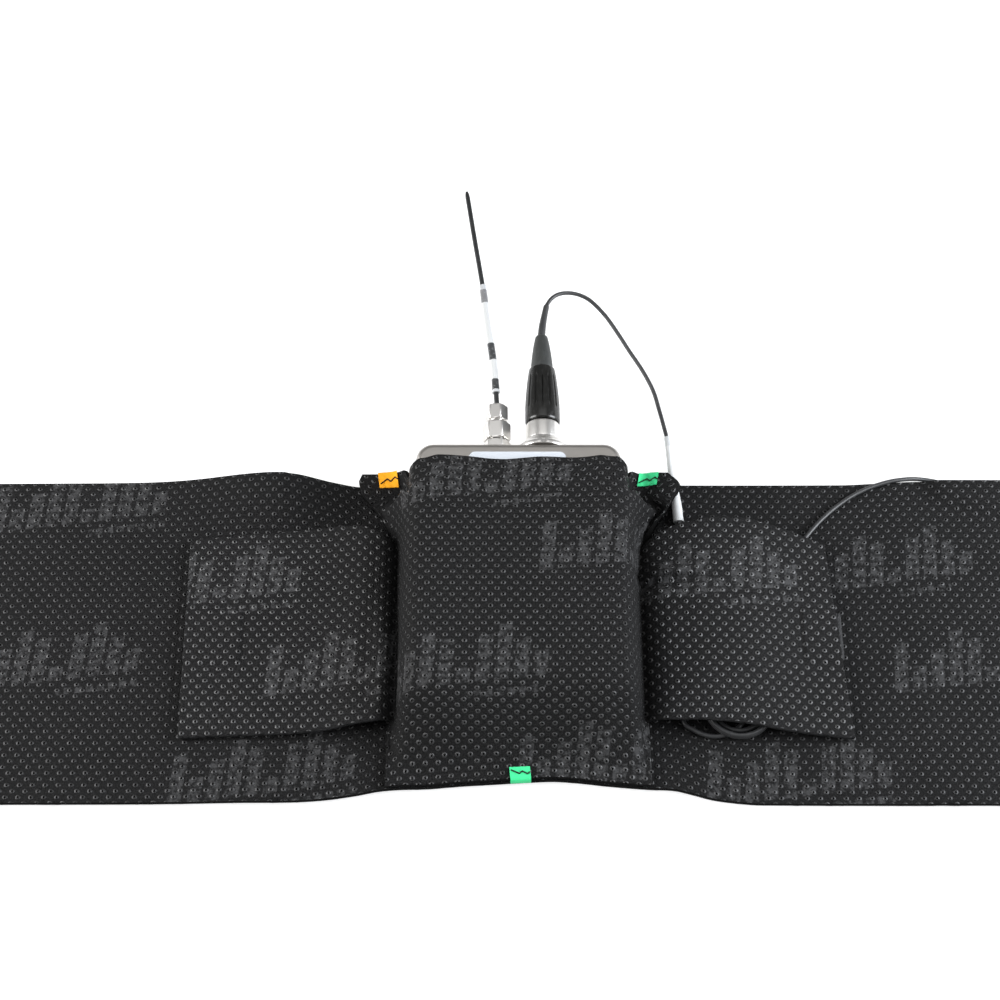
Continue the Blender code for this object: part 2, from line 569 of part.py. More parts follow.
def build_antenna():
    axis = (ANTENNA_X, 0, MID)
    nut_chamfer = lambda e: abs(e.verts[0].co.y - e.verts[1].co.y) < 0.01
    nut = prism(hexagon(7.94, MID, ANTENNA_X, 12.0), "Y", 63.3, 69.9, 0.35, nut_chamfer)
    coupling = add_node("antenna_coupling_nut", nut, "connector_metal", axis)
    cut(coupling, [turned([(3.25, 60.0), (3.25, 68.8), (1.9, 68.9), (1.9, 75.0)], "Y", axis, 24)])
    ferrule = prism(hexagon(6.0, MID, ANTENNA_X, 12.0), "Y", 70.2, 76.6, 0.35, nut_chamfer)
    add_node("antenna_ferrule", ferrule, "connector_metal", axis)
    tube("antenna_whip", WHIP, 1.6, "whip_rubber", 6.0)
    build_label_sleeve()


def build_label_sleeve():
    """The printed tube shrunk round the lower part of the whip, from above the ferrule."""
    route = smooth_route(WHIP, 3.0)[3:12]
    bm = bmesh.new()
    rings = []
    for radius, order in ((1.15, route), (0.92, list(reversed(route)))):
        for place in order:
            ring = []
            for k in range(16):
                angle = 2 * math.pi * k / 16
                ring.append(bm.verts.new(place + Vector((radius * math.cos(angle), 0.0,
                                                         radius * math.sin(angle)))))
            rings.append(ring)
    join_rings(bm, rings, closed_path=True)
    add_node("antenna_label_sleeve", bm, "sleeve_white", smooth=False)


def build_plug():
    axis = (AUDIO_X, 0, MID)
    barrel = [(3.9, 54.0), (4.6, 54.0), (4.6, 63.2), (5.55, 63.2), (5.55, 69.7), (3.9, 69.7)]
    node = add_node("plug_barrel", turned(barrel, "Y", axis, 36, section=True), "connector_metal")
    button_hole = block((AUDIO_X - 1.6, AUDIO_X + 1.6), (64.4, 68.2), (2.0, MID - 3.0))
    cut(node, [button_hole])
    insert = [(3.6, 54.6), (3.6, 64.0), (2.9, 64.1), (2.9, 71.0)]
    add_node("plug_insert", turned(insert, "Y", axis, 24), "black_plastic")
    latch = block((AUDIO_X - 1.3, AUDIO_X + 1.3), (64.7, 67.9), (MID - 5.9, MID - 4.6), 0.3)
    add_node("plug_latch_button", latch, "connector_metal", (AUDIO_X, 66.3, MID - 5.0))

    def flutes(angle, height):
        depth = 0.05 * ease(height, 72.5, 75.5) * (1 - ease(height, 87.0, 90.0))
        return 1.0 - depth * max(0.0, math.cos(14 * angle)) ** 2

    sleeve = [(5.45, 70.0), (5.65, 70.6), (5.6, 73.0), (5.45, 76.0), (5.15, 80.0), (4.8, 84.0),
              (4.42, 87.5), (4.2, 89.6), (3.85, 90.7), (3.6, 90.7), (3.6, 71.4), (3.9, 71.2), (3.9, 70.0)]
    add_node("plug_sleeve", turned(sleeve, "Y", axis, 56, section=True, flute=flutes), "black_plastic")
    boot = [(3.35, 84.0), (3.42, 90.9), (3.1, 94.8), (2.6, 99.2), (2.2, 102.7), (1.7, 103.7)]
    add_node("plug_boot", turned(boot, "Y", axis, 24), "boot_rubber")
    relief = [(AUDIO_X, 104.0, MID), (8.45, 108.0, MID), (9.2, 112.2, MID), (9.8, 115.3, MID)]
    tube("strain_relief_tube", relief, 2.2, "cord_jacket", 3.5)


# ---- cord ----------------------------------------------------------------------------------
def coil(name, centre, radii, base, top):
    """One closed ring in the outer shape of a coil of cord."""
    inner, outer = radii
    middle = (base + top) / 2
    section = [(inner, middle), (inner + 0.5, base), (outer - 0.5, base), (outer, middle),
               (outer - 0.5, top), (inner + 0.5, top)]
    add_node(name, turned(section, "Z", (*centre, 0.0), 40, section=True), "cord_jacket")


def build_cord():
    tube("cord_lead_in", LEAD_IN, CORD, "cord_jacket", 4.2)
    tube("cord_marker_sleeve", MARKER, 2.4, "sleeve_white", 4.5)
    tube("cord_pocket_entry", POCKET_ENTRY, CORD, "cord_jacket", 5.2)
    coil("cord_pocket_coil", POCKET_COIL, POCKET_COIL_RADII, BAND_THICK + 0.2, 6.3)
    tube("cord_lead_out", LEAD_OUT, CORD, "cord_jacket", 4.6)
    coil("cord_tail_coil", TAIL_COIL, TAIL_COIL_RADII, 0.1, 3.2)
    tube("cord_jack_lead", JACK_LEAD, CORD, "cord_jacket", 4.0)


def build_jack():
    """The straight guitar plug on the cord's far end."""
    axis = (JACK_START, *JACK_AXIS)
    boot = [(1.3, 0.0), (1.7, 0.4), (2.6, 9.0), (3.6, 12.0)]
    add_node("jack_boot", turned(boot, "X", axis, 24), "boot_rubber")
    barrel = [(3.9, 12.3), (5.2, 13.6), (5.5, 15.5), (5.5, 40.0), (5.2, 41.2), (3.4, 41.6)]
    add_node("jack_barrel", turned(barrel, "X", axis, 32), "connector_metal")
    shaft = [(3.175, 41.9), (3.175, 64.0), (3.0, 64.1), (3.0, 65.3)]
    add_node("jack_shaft", turned(shaft, "X", axis, 24), "connector_metal")
    tip = [(3.1, 65.6), (3.1, 67.6), (2.3, 68.8), (3.0, 70.4), (2.2, 72.6), (0.5, 73.4)]
    add_node("jack_tip", turned(tip, "X", axis, 24), "connector_metal")


def clear_scene():
    for item in list(bpy.data.objects):
        bpy.data.objects.remove(item, do_unlink=True)


def main():
    clear_scene()
    build_band()
    build_pouch()
    build_flap(-1, "left")
    build_flap(1, "right")
    build_tags()
    strap_side = set(bpy.data.objects)
    build_case()
    build_door()
    build_inside()
    build_top()
    build_antenna()
    build_plug()
    for item in set(bpy.data.objects) - strap_side:
        item.location.x += PACK_X * MM
    build_cord()
    build_jack()


main()
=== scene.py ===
import math
import random

import bmesh
import bpy
from mathutils import Matrix, Vector, noise


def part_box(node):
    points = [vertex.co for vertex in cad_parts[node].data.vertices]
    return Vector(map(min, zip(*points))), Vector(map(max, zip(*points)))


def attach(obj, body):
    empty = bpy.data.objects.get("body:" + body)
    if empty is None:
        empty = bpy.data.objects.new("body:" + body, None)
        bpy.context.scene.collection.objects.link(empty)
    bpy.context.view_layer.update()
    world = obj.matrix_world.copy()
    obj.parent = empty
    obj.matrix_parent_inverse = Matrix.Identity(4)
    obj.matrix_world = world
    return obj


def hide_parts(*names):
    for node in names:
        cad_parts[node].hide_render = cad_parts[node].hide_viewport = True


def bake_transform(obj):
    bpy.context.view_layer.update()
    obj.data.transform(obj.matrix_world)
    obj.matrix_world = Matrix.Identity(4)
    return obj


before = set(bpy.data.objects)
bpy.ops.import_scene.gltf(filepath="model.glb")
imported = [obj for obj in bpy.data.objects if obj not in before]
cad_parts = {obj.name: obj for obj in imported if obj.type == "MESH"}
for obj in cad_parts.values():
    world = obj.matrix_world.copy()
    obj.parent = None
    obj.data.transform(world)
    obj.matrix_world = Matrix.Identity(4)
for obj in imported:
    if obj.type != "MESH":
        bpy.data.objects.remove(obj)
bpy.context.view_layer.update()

MM = 0.001
ROOT = "strap_and_pack"

# ---- sizes shared with the CAD -------------------------------------------------------------
MID = 11.5                                  # height of the connectors' axes
PACK_X = -0.9                               # the transmitter's centreline
ANTENNA_X, AUDIO_X = -7.8, 7.15
CORD = 1.4
TAIL_COIL = (196.0, 78.0)
JACK_START, JACK_AXIS = 218.3, (90.1, 5.6)

LEAD_IN = [(9.15, 116.1, 11.5), (10.2, 118.1, 11.3), (11.7, 119.8, 11.1), (13.6, 121.0, 10.8),
           (16.0, 121.7, 10.3), (18.5, 121.9, 9.6), (21.2, 121.5, 8.8), (24.1, 120.2, 7.9),
           (27.6, 117.0, 6.8), (30.5, 113.5, 5.8), (34.0, 108.2, 4.5), (37.3, 102.8, 3.3),
           (41.6, 95.8, 2.2), (45.0, 88.4, 1.4), (46.7, 81.0, 1.4), (47.8, 74.9, 2.1),
           (48.5, 69.9, 3.3)]
MARKER = [(48.6, 69.4, 3.4), (48.8, 65.5, 4.0), (49.0, 60.5, 4.3), (49.4, 55.0, 4.3),
          (50.0, 49.2, 4.3), (50.6, 43.6, 4.2), (50.9, 38.2, 4.2)]
POCKET_ENTRY = [(50.9, 37.8, 4.1), (51.0, 31.0, 3.8), (50.6, 22.0, 3.5), (50.0, 12.0, 3.5),
                (49.6, 2.0, 3.5), (49.4, -7.0, 3.5), (49.5, -13.8, 3.6)]
LEAD_OUT = [(72.9, -13.8, 4.9), (73.6, -6.0, 4.4), (76.0, 4.0, 3.8), (80.0, 14.0, 3.5),
            (85.0, 23.5, 3.5), (89.5, 30.2, 3.6), (92.6, 34.2, 3.7), (97.4, 39.5, 3.6),
            (103.2, 44.6, 3.5), (109.0, 48.5, 3.5), (114.7, 51.2, 3.5), (120.4, 53.1, 3.4),
            (124.6, 54.0, 3.1), (128.4, 54.6, 2.5), (132.0, 54.8, 1.7), (136.4, 54.4, 1.0),
            (141.0, 53.2, 0.9), (146.0, 51.4, 0.9),
            (152.0, 49.6, 0.9), (158.5, 48.8, 0.9), (165.0, 49.2, 0.9), (171.0, 51.0, 0.9),
            (176.5, 54.0, 0.9), (181.0, 58.2, 0.9), (184.3, 63.0, 0.9), (186.0, 67.5, 0.9),
            (186.3, 71.4, 1.1)]
UNDER_BAND = LEAD_OUT[16:24]
JACK_LEAD = [(200.6, 89.6, 1.5), (204.0, 90.0, 2.2), (208.5, 90.1, 3.5), (213.0, 90.1, 4.7),
             (218.0, 90.1, 5.5), (223.0, 90.1, 5.6), (231.0, 90.1, 5.6), (240.0, 90.1, 5.6)]
WHIP = [(-7.8, 76.9, 11.5), (-8.7, 90.6, 11.5), (-10.2, 103.0, 11.5), (-11.5, 113.0, 11.5),
        (-12.8, 124.1, 11.5), (-15.7, 143.5, 11.5), (-18.5, 162.9, 11.5)]

# ---- the fabric's dots ---------------------------------------------------------------------
DOT_PITCH_X, DOT_PITCH_Y = 3.88, 3.74       # a centred lattice: one more dot in each cell's middle
DOT_RADIUS, PIT_RADIUS = 0.86, 0.32
CLOTH = 2.1


# ---- Camera, lights and floor ----------------------------------------------------------------
def set_camera():
    data = bpy.data.cameras.new("camera")
    data.sensor_width = 36.0
    data.lens = 57.6
    data.clip_start = 0.01
    camera = bpy.data.objects.new("camera", data)
    camera.location = (-0.0068, -0.1779, 0.4739)
    camera.rotation_euler = (math.radians(90 - 64.5), 0, 0)
    bpy.context.scene.collection.objects.link(camera)
    bpy.context.scene.camera = camera
    bpy.context.scene.render.resolution_x = 1000
    bpy.context.scene.render.resolution_y = 1000


def area_light(name, place, target, width, height, power, colour=(1, 1, 1)):
    data = bpy.data.lights.new(name, "AREA")
    data.shape = "RECTANGLE"
    data.size = width
    data.size_y = height
    data.energy = power
    data.color = colour
    light = bpy.data.objects.new(name, data)
    light.location = place
    light.rotation_euler = (Vector(target) - Vector(place)).to_track_quat("-Z", "Y").to_euler()
    bpy.context.scene.collection.objects.link(light)


def set_lights():
    area_light("left_box", (-0.55, 0.02, 0.27), (0, 0, 0), 0.42, 0.40, 6.0)
    area_light("right_box", (0.55, 0.02, 0.27), (0, 0, 0), 0.42, 0.40, 7.4, (0.92, 0.955, 1.0))
    area_light("top_box", (0.0, 0.25, 0.95), (0, 0.03, 0), 0.9, 0.6, 2.0)
    world = bpy.data.worlds.new("studio")
    world.use_nodes = True
    world.node_tree.nodes["Background"].inputs["Color"].default_value = (1, 1, 1, 1)
    world.node_tree.nodes["Background"].inputs["Strength"].default_value = 0.28
    bpy.context.scene.world = world
    bpy.context.scene.view_settings.view_transform = "Standard"


def set_floor():
    bm = bmesh.new()
    bmesh.ops.create_grid(bm, x_segments=1, y_segments=1, size=7.0)
    mesh = bpy.data.meshes.new("floor")
    bm.to_mesh(mesh)
    bm.free()
    floor = bpy.data.objects.new("floor", mesh)
    bpy.context.scene.collection.objects.link(floor)
    shader = Shader("floor_white")
    shader.set(base_color=(0.5, 0.5, 0.5), roughness=0.9, specular=0.1, emission=(1, 1, 1), glow=0.62)
    mesh.materials.append(shader.material)


# ---- Materials -------------------------------------------------------------------------------
class Shader:
    """A Principled material and short calls that add nodes to it."""

    SOCKETS = {"base_color": "Base Color", "roughness": "Roughness", "metallic": "Metallic",
               "specular": "Specular IOR Level", "coat": "Coat Weight",
               "coat_roughness": "Coat Roughness", "normal": "Normal",
               "emission": "Emission Color", "glow": "Emission Strength"}

    def __init__(self, name):
        self.material = bpy.data.materials.new(name)
        self.material.use_nodes = True
        self.tree = self.material.node_tree
        self.principled = self.tree.nodes["Principled BSDF"]

    def plug(self, socket, value):
        """Link a node output, or set a constant, on an input socket."""
        if isinstance(value, bpy.types.NodeSocket):
            self.tree.links.new(value, socket)
        elif isinstance(value, (tuple, list)) and len(value) == 3 and socket.type == "RGBA":
            socket.default_value = (*value, 1.0)
        else:
            socket.default_value = value

    def set(self, **values):
        for key, value in values.items():
            self.plug(self.principled.inputs[self.SOCKETS[key]], value)
        return self

    def math(self, operation, first, second=0.0, clamp=False):
        node = self.tree.nodes.new("ShaderNodeMath")
        node.operation = operation
        node.use_clamp = clamp
        self.plug(node.inputs[0], first)
        self.plug(node.inputs[1], second)
        return node.outputs[0]

    def add(self, first, second):
        return self.math("ADD", first, second)

    def sub(self, first, second, clamp=False):
        return self.math("SUBTRACT", first, second, clamp)

    def mul(self, first, second):
        return self.math("MULTIPLY", first, second)

    def abs(self, value):
        return self.math("ABSOLUTE", value)

    def smooth(self, value, start, end, low=0.0, high=1.0):
        """Map value from start..end to low..high with smooth ends."""
        node = self.tree.nodes.new("ShaderNodeMapRange")
        node.interpolation_type = "SMOOTHSTEP"
        for socket, content in zip(node.inputs, (value, start, end, low, high)):
            self.plug(socket, content)
        return node.outputs[0]

    def mix(self, factor, first, second):
        node = self.tree.nodes.new("ShaderNodeMix")
        node.data_type = "RGBA"
        self.plug(node.inputs["Factor"], factor)
        self.plug(node.inputs[6], first)
        self.plug(node.inputs[7], second)
        return node.outputs[2]

    def place(self, *scales):
        """Object coordinates in millimetres, with a scale for each axis."""
        coords = self.tree.nodes.new("ShaderNodeTexCoord")
        mapping = self.tree.nodes.new("ShaderNodeMapping")
        mapping.inputs["Scale"].default_value = tuple(s / MM for s in scales)
        self.tree.links.new(coords.outputs["Object"], mapping.inputs["Vector"])
        return mapping.outputs[0]

    def uv(self, layer):
        """A UV layer's u, v and vector, one unit per millimetre on cloth."""
        uv = self.tree.nodes.new("ShaderNodeUVMap")
        uv.uv_map = layer
        split = self.tree.nodes.new("ShaderNodeSeparateXYZ")
        self.tree.links.new(uv.outputs[0], split.inputs[0])
        return split.outputs[0], split.outputs[1], uv.outputs[0]

    def speckle(self, vector, scale, detail=3.0, roughness=0.6):
        node = self.tree.nodes.new("ShaderNodeTexNoise")
        node.inputs["Scale"].default_value = scale
        node.inputs["Detail"].default_value = detail
        node.inputs["Roughness"].default_value = roughness
        self.tree.links.new(vector, node.inputs["Vector"])
        return node.outputs["Fac"]

    def bump(self, height, distance, strength=1.0, after=None):
        node = self.tree.nodes.new("ShaderNodeBump")
        node.inputs["Strength"].default_value = strength
        node.inputs["Distance"].default_value = distance * MM
        self.plug(node.inputs["Height"], height)
        if after is not None:
            self.plug(node.inputs["Normal"], after)
        return node.outputs[0]


def dotted_fabric(name="dotted_fabric", tone=1.0, gloss=0.5):
    """Black foam-backed fabric: raised dots, each with a pin-hole, over a napped ground. The holes are
    painted near-black as painted shade, and tone scales every colour as painted light.
    """
    s = Shader(name)
    u, v, uv = s.uv("cloth")

    def to_nearest(shift):
        across = s.math("PINGPONG", s.add(s.math("DIVIDE", u, DOT_PITCH_X), shift), 0.5)
        along = s.math("PINGPONG", s.add(s.math("DIVIDE", v, DOT_PITCH_Y), shift), 0.5)
        dx = s.mul(across, DOT_PITCH_X)
        dy = s.mul(along, DOT_PITCH_Y)
        return s.math("SQRT", s.add(s.mul(dx, dx), s.mul(dy, dy)))

    gap = s.math("MINIMUM", to_nearest(0.0), to_nearest(0.5))
    share = s.math("DIVIDE", gap, DOT_RADIUS, clamp=True)
    dome = s.math("SQRT", s.sub(1.0, s.mul(share, share), clamp=True))
    pit = s.smooth(gap, PIT_RADIUS * 0.55, PIT_RADIUS * 1.25, 1.0, 0.0)
    on_dot = s.smooth(gap, DOT_RADIUS * 0.8, DOT_RADIUS * 1.05, 1.0, 0.0)
    height = s.sub(dome, s.mul(pit, 1.1))
    nap = s.speckle(uv, 1.9, 4.0, 0.8)
    pile = s.speckle(uv, 0.9, 2.0, 0.5)
    broad = s.speckle(uv, 0.03, 2.0, 0.5)
    ink = s.mul(printed_bars(s), s.smooth(s.speckle(uv, 0.45, 3.0, 0.7), 0.38, 0.62))
    normal = s.bump(nap, 0.2, 0.9)
    normal = s.bump(height, 0.52, 1.0, normal)

    # Every colour is scaled by tone, so the band, pouch and flaps are lighter and darker copies of one
    # fabric: painted light.
    def painted_light_tone(*colour):
        return tuple(c * tone for c in colour)

    ground = s.mix(s.smooth(nap, 0.33, 0.67), painted_light_tone(0.0015, 0.0015, 0.0015), painted_light_tone(0.0205, 0.0202, 0.0207))
    ground = s.mix(s.smooth(broad, 0.3, 0.75, 0.0, 0.5), ground, painted_light_tone(0.007, 0.007, 0.0071))
    ground = s.mix(ink, ground, s.mix(nap, painted_light_tone(0.017, 0.017, 0.0175), painted_light_tone(0.066, 0.066, 0.068)))
    raised = s.mix(pile, (0.006, 0.006, 0.0063), (0.014, 0.014, 0.0145))
    raised = s.mix(s.mul(ink, 0.8), raised, painted_light_tone(0.044, 0.044, 0.0455))
    colour = s.mix(on_dot, ground, raised)
    # The pin-holes are painted near-black and lose their specular: painted shade inside the holes.
    colour = s.mix(pit, colour, (0.001, 0.001, 0.001))
    shine = s.add(s.smooth(on_dot, 0, 1, 0.1, gloss), s.mul(ink, 0.15))
    s.set(base_color=colour, roughness=s.sub(0.8, s.mul(on_dot, 0.38)),
          specular=s.mul(s.sub(1.0, pit), shine), normal=normal)
    return s.material


def printed_bars(s):
    """Tone-on-tone print: a slanted row of bars of many heights over a broken line, in "print" UVs."""
    a, b, _ = s.uv("print")
    lean = s.sub(a, s.mul(b, 0.22))
    bar = s.math("DIVIDE", lean, 5.8)
    number = s.math("FLOOR", bar)
    off_centre = s.abs(s.sub(s.sub(bar, number), 0.5))
    tall = s.abs(s.math("SINE", s.mul(number, 2.3)))
    tall = s.add(5.0, s.mul(tall, 13.0))
    above = s.add(b, 9.0)
    in_bar = s.mul(s.smooth(off_centre, 0.33, 0.4, 1.0, 0.0),
                   s.smooth(s.sub(above, tall), -0.4, 0.2, 1.0, 0.0))
    in_bar = s.mul(in_bar, s.smooth(above, 0.0, 0.5))
    in_row = s.smooth(s.abs(lean), 29.0, 30.0, 1.0, 0.0)
    dash = s.abs(s.sub(s.math("FRACT", s.math("DIVIDE", a, 3.4)), 0.5))
    under = s.mul(s.smooth(dash, 0.28, 0.38, 1.0, 0.0),
                  s.smooth(s.abs(s.add(b, 12.6)), 0.9, 1.3, 1.0, 0.0))
    under = s.mul(under, s.smooth(s.abs(s.sub(a, 14.0)), 12.0, 12.6, 1.0, 0.0))
    return s.math("MAXIMUM", s.mul(in_bar, in_row), under)


def foam_edge_painted_light(name="foam_edge_painted_light", colour=(0.007, 0.007, 0.007)):
    """The cut edge of the laminate: black foam between two fabric faces. Its colour is painted light: the
    default is darkened as painted shade, and a lighter copy gives a painted highlight.
    """
    s = Shader(name)
    nap = s.speckle(s.place(1.0, 1.0, 1.0), 3.0, 4.0, 0.7)
    s.set(base_color=s.mix(nap, tuple(c * 0.25 for c in colour), colour), roughness=0.95, specular=0.05,
          normal=s.bump(nap, 0.25, 1.0))
    return s.material


def hook_tape():
    """Hook tape: rows of tiny stiff loops."""
    s = Shader("hook_tape")
    rows = s.speckle(s.place(1.6, 0.8, 1.0), 1.5, 3.0, 0.6)
    s.set(base_color=s.mix(rows, (0.004, 0.004, 0.004), (0.03, 0.03, 0.032)), roughness=0.6, specular=0.3,
          normal=s.bump(rows, 0.5, 1.0))
    return s.material


def woven_tag(name, colour):
    s = Shader(name)
    weave = s.speckle(s.place(1.0, 4.0, 1.0), 2.2, 2.0, 0.5)
    dark = tuple(c * 0.72 for c in colour)
    s.set(base_color=s.mix(weave, dark, colour), roughness=0.75, specular=0.2,
          normal=s.bump(weave, 0.12, 0.7))
    return s.material


def satin_nickel():
    """Warm, bead-blasted nickel with a fine grain, a few rub marks and a slow change in tone."""
    s = Shader("satin_nickel")
    grain = s.speckle(s.place(1.0, 1.0, 1.0), 9.0, 3.0, 0.7)
    tone = s.speckle(s.place(1.0, 1.0, 1.0), 0.06, 3.0, 0.6)
    rub = s.speckle(s.place(0.25, 2.2, 2.2), 1.2, 4.0, 0.7)
    colour = s.mix(tone, (0.37, 0.352, 0.33), (0.44, 0.418, 0.395))
    s.set(base_color=colour, metallic=1.0,
          roughness=s.add(0.36, s.mul(s.sub(rub, 0.5), 0.22)),
          normal=s.bump(grain, 0.03, 0.5))
    return s.material


def plated_metal(name="plated_metal", colour=(0.77, 0.755, 0.73), roughness=0.26):
    """Turned and plated metal: fine lathe rings and slight tarnish."""
    s = Shader(name)
    rings = s.speckle(s.place(0.15, 6.0, 0.15), 1.5, 2.0, 0.5)
    tone = s.speckle(s.place(1.0, 1.0, 1.0), 0.35, 3.0, 0.6)
    dim = tuple(c * 0.95 for c in colour)
    s.set(base_color=s.mix(tone, dim, colour), metallic=1.0,
          roughness=s.add(roughness, s.mul(tone, 0.06)),
          normal=s.bump(rings, 0.0015, 0.3))
    return s.material


def moulded(name, colour, roughness, specular=0.5, grain=0.02):
    """Moulded plastic or rubber with a faint grain, scuffs and uneven gloss."""
    s = Shader(name)
    fine = s.speckle(s.place(1.0, 1.0, 1.0), 6.0, 3.0, 0.6)
    scuff = s.speckle(s.place(1.0, 0.3, 1.0), 1.1, 5.0, 0.7)
    light = tuple(min(1.0, c * 1.5 + 0.006) for c in colour)
    s.set(base_color=s.mix(s.smooth(scuff, 0.45, 0.75), colour, light), specular=specular,
          roughness=s.add(roughness, s.mul(s.sub(scuff, 0.5), 0.2)),
          normal=s.bump(fine, grain, 0.6))
    return s.material


def paper_label():
    s = Shader("paper_label")
    fibre = s.speckle(s.place(1.0, 1.0, 1.0), 4.0, 3.0, 0.6)
    s.set(base_color=s.mix(fibre, (0.48, 0.51, 0.55), (0.55, 0.58, 0.62)), roughness=0.35, specular=0.4,
          normal=s.bump(fibre, 0.01, 0.4))
    return s.material


def banded_sleeve(name, bands, clear=(0.55, 0.56, 0.57)):
    """A printed marker tube.  bands lists (start, colour) along the piece's own length."""
    s = Shader(name)
    _, along, _ = s.uv("cloth")
    ramp = s.tree.nodes.new("ShaderNodeValToRGB")
    ramp.color_ramp.interpolation = "CONSTANT"
    stops = ramp.color_ramp.elements
    while len(stops) < len(bands):
        stops.new(0.5)
    for stop, (start, colour) in zip(stops, bands):
        stop.position = start
        stop.color = (*colour, 1.0)
    s.tree.links.new(along, ramp.inputs["Fac"])
    smudge = s.speckle(s.place(1.0, 1.0, 1.0), 1.3, 4.0, 0.7)
    colour = s.mix(s.mul(s.smooth(smudge, 0.5, 0.75), 0.35), ramp.outputs["Color"], clear)
    s.set(base_color=colour, roughness=0.28, specular=0.5, coat=0.4, coat_roughness=0.15,
          normal=s.bump(smudge, 0.03, 0.5))
    return s.material


def circuit_board():
    s = Shader("circuit_board")
    tracks = s.speckle(s.place(0.6, 2.4, 1.0), 0.8, 2.0, 0.4)
    s.set(base_color=s.mix(s.smooth(tracks, 0.47, 0.53), (0.006, 0.06, 0.025), (0.02, 0.16, 0.07)),
          roughness=0.35, specular=0.5, normal=s.bump(tracks, 0.03, 0.5))
    return s.material


MATERIALS = {}


def material(name):
    return MATERIALS[name]


def make_materials():
    makers = {
        # The band, pouch and flaps share one fabric; their tones 0.78, 0.85 and 1.0 are painted light, with
        # the band as the shaded copy and the flaps as the lit copy.
        "fabric": lambda: dotted_fabric("dotted_fabric", 0.78, 0.42),
        "pouch_fabric": lambda: dotted_fabric("pouch_fabric", 0.85, 0.5),
        "flap_fabric_lit": lambda: dotted_fabric("flap_fabric_lit", 1.0, 0.8),
        # The band's and pouch's cut edges are black foam darkened further as painted shade; the flaps' cut
        # edge is a lighter copy as a painted highlight along their edges.
        "foam_edge_painted_light": foam_edge_painted_light,
        "cut_edge_painted_highlight": lambda: foam_edge_painted_light("cut_edge_painted_highlight", (0.035, 0.035, 0.036)),
        "hook": hook_tape,
        "orange": lambda: woven_tag("orange_tag_weave", (1.0, 0.42, 0.014)),
        "green": lambda: woven_tag("green_tag_weave", (0.06, 0.76, 0.30)),
        "thread": lambda: moulded("dark_thread", (0.012, 0.010, 0.010), 0.7, 0.2, 0.05),
        "nickel": satin_nickel,
        "plated": plated_metal,
        "label": paper_label,
        "black_plastic": lambda: moulded("black_plastic", (0.0045, 0.0045, 0.004), 0.24),
        "boot": lambda: moulded("boot_rubber", (0.030, 0.032, 0.031), 0.5, 0.3, 0.04),
        "whip": lambda: moulded("whip_rubber", (0.010, 0.011, 0.0115), 0.42, 0.4),
        "jacket": lambda: moulded("cord_jacket", (0.022, 0.0225, 0.0235), 0.42, 0.5),
        "board": circuit_board,
        "cell": lambda: moulded("cell_wrap", (0.02, 0.03, 0.045), 0.25),
        "brass": lambda: plated_metal("brass_contact", (0.78, 0.58, 0.26), 0.25),
        "lens": lambda: moulded("green_lens", (0.06, 0.45, 0.12), 0.12, 0.6, 0.0),
    }
    for name, maker in makers.items():
        MATERIALS[name] = maker()


# ---- Mesh helpers (millimetres in, metres out) -----------------------------------------------
def ease(value, start, end):
    t = min(max((value - start) / (end - start), 0.0), 1.0)
    return t * t * (3 - 2 * t)


def smooth_route(points, spacing):
    """Evenly spaced points on the Catmull-Rom curve through the given points."""
    knots = [Vector(p) for p in points]
    knots = [2 * knots[0] - knots[1]] + knots + [2 * knots[-1] - knots[-2]]
    fine = []
    for a, b, c, d in zip(knots, knots[1:], knots[2:], knots[3:]):
        for k in range(12):
            t = k / 12
            fine.append(0.5 * (2 * b + (c - a) * t + (2 * a - 5 * b + 4 * c - d) * t ** 2
                               + (3 * b - a - 3 * c + d) * t ** 3))
    fine.append(knots[-2])
    lengths = [0.0]
    for a, b in zip(fine, fine[1:]):
        lengths.append(lengths[-1] + (b - a).length)
    steps = max(2, round(lengths[-1] / spacing))
    even, cursor = [], 0
    for k in range(steps + 1):
        target = lengths[-1] * k / steps
        while cursor < len(fine) - 2 and lengths[cursor + 1] < target:
            cursor += 1
        share = (target - lengths[cursor]) / max(lengths[cursor + 1] - lengths[cursor], 1e-9)
        even.append(fine[cursor].lerp(fine[cursor + 1], min(max(share, 0.0), 1.0)))
    return even


def route_length(points):
    return sum((b - a).length for a, b in zip(points, points[1:]))


def add_piece(name, bm, finish, smooth=True, sharp_angle=35.0):
    """Turn a bmesh in millimetres into an object in metres."""
    bmesh.ops.scale(bm, verts=bm.verts, vec=(MM, MM, MM))
    bmesh.ops.recalc_face_normals(bm, faces=bm.faces)
    mesh = bpy.data.meshes.new(name)
    bm.to_mesh(mesh)
    bm.free()
    for item in finish if isinstance(finish, (list, tuple)) else [finish]:
        mesh.materials.append(material(item))
    if smooth:
        mesh.shade_smooth()
        mesh.set_sharp_from_angle(angle=math.radians(sharp_angle))
    piece = bpy.data.objects.new(name, mesh)
    bpy.context.scene.collection.objects.link(piece)
    return piece


def stand_for(piece, node, body=ROOT):
    """Let a piece ride on a body and take a CAD node's place."""
    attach(piece, body)
    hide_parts(node)
    return piece


def extra(piece, body=ROOT):
    """Let a piece with no CAD node of its own ride on a body."""
    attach(piece, body)
    return piece


def join_rings(bm, rings):
    """Bands of quads between each closed ring of vertices and the next."""
    for here, there in zip(rings, rings[1:]):
        count = len(here)
        for k in range(count):
            bm.faces.new((here[k], here[(k + 1) % count], there[(k + 1) % count], there[k]))


AXES = {"X": Matrix(((0, 0, 1), (1, 0, 0), (0, 1, 0))),
        "Y": Matrix(((0, 1, 0), (0, 0, 1), (1, 0, 0))),
        "Z": Matrix.Identity(3)}


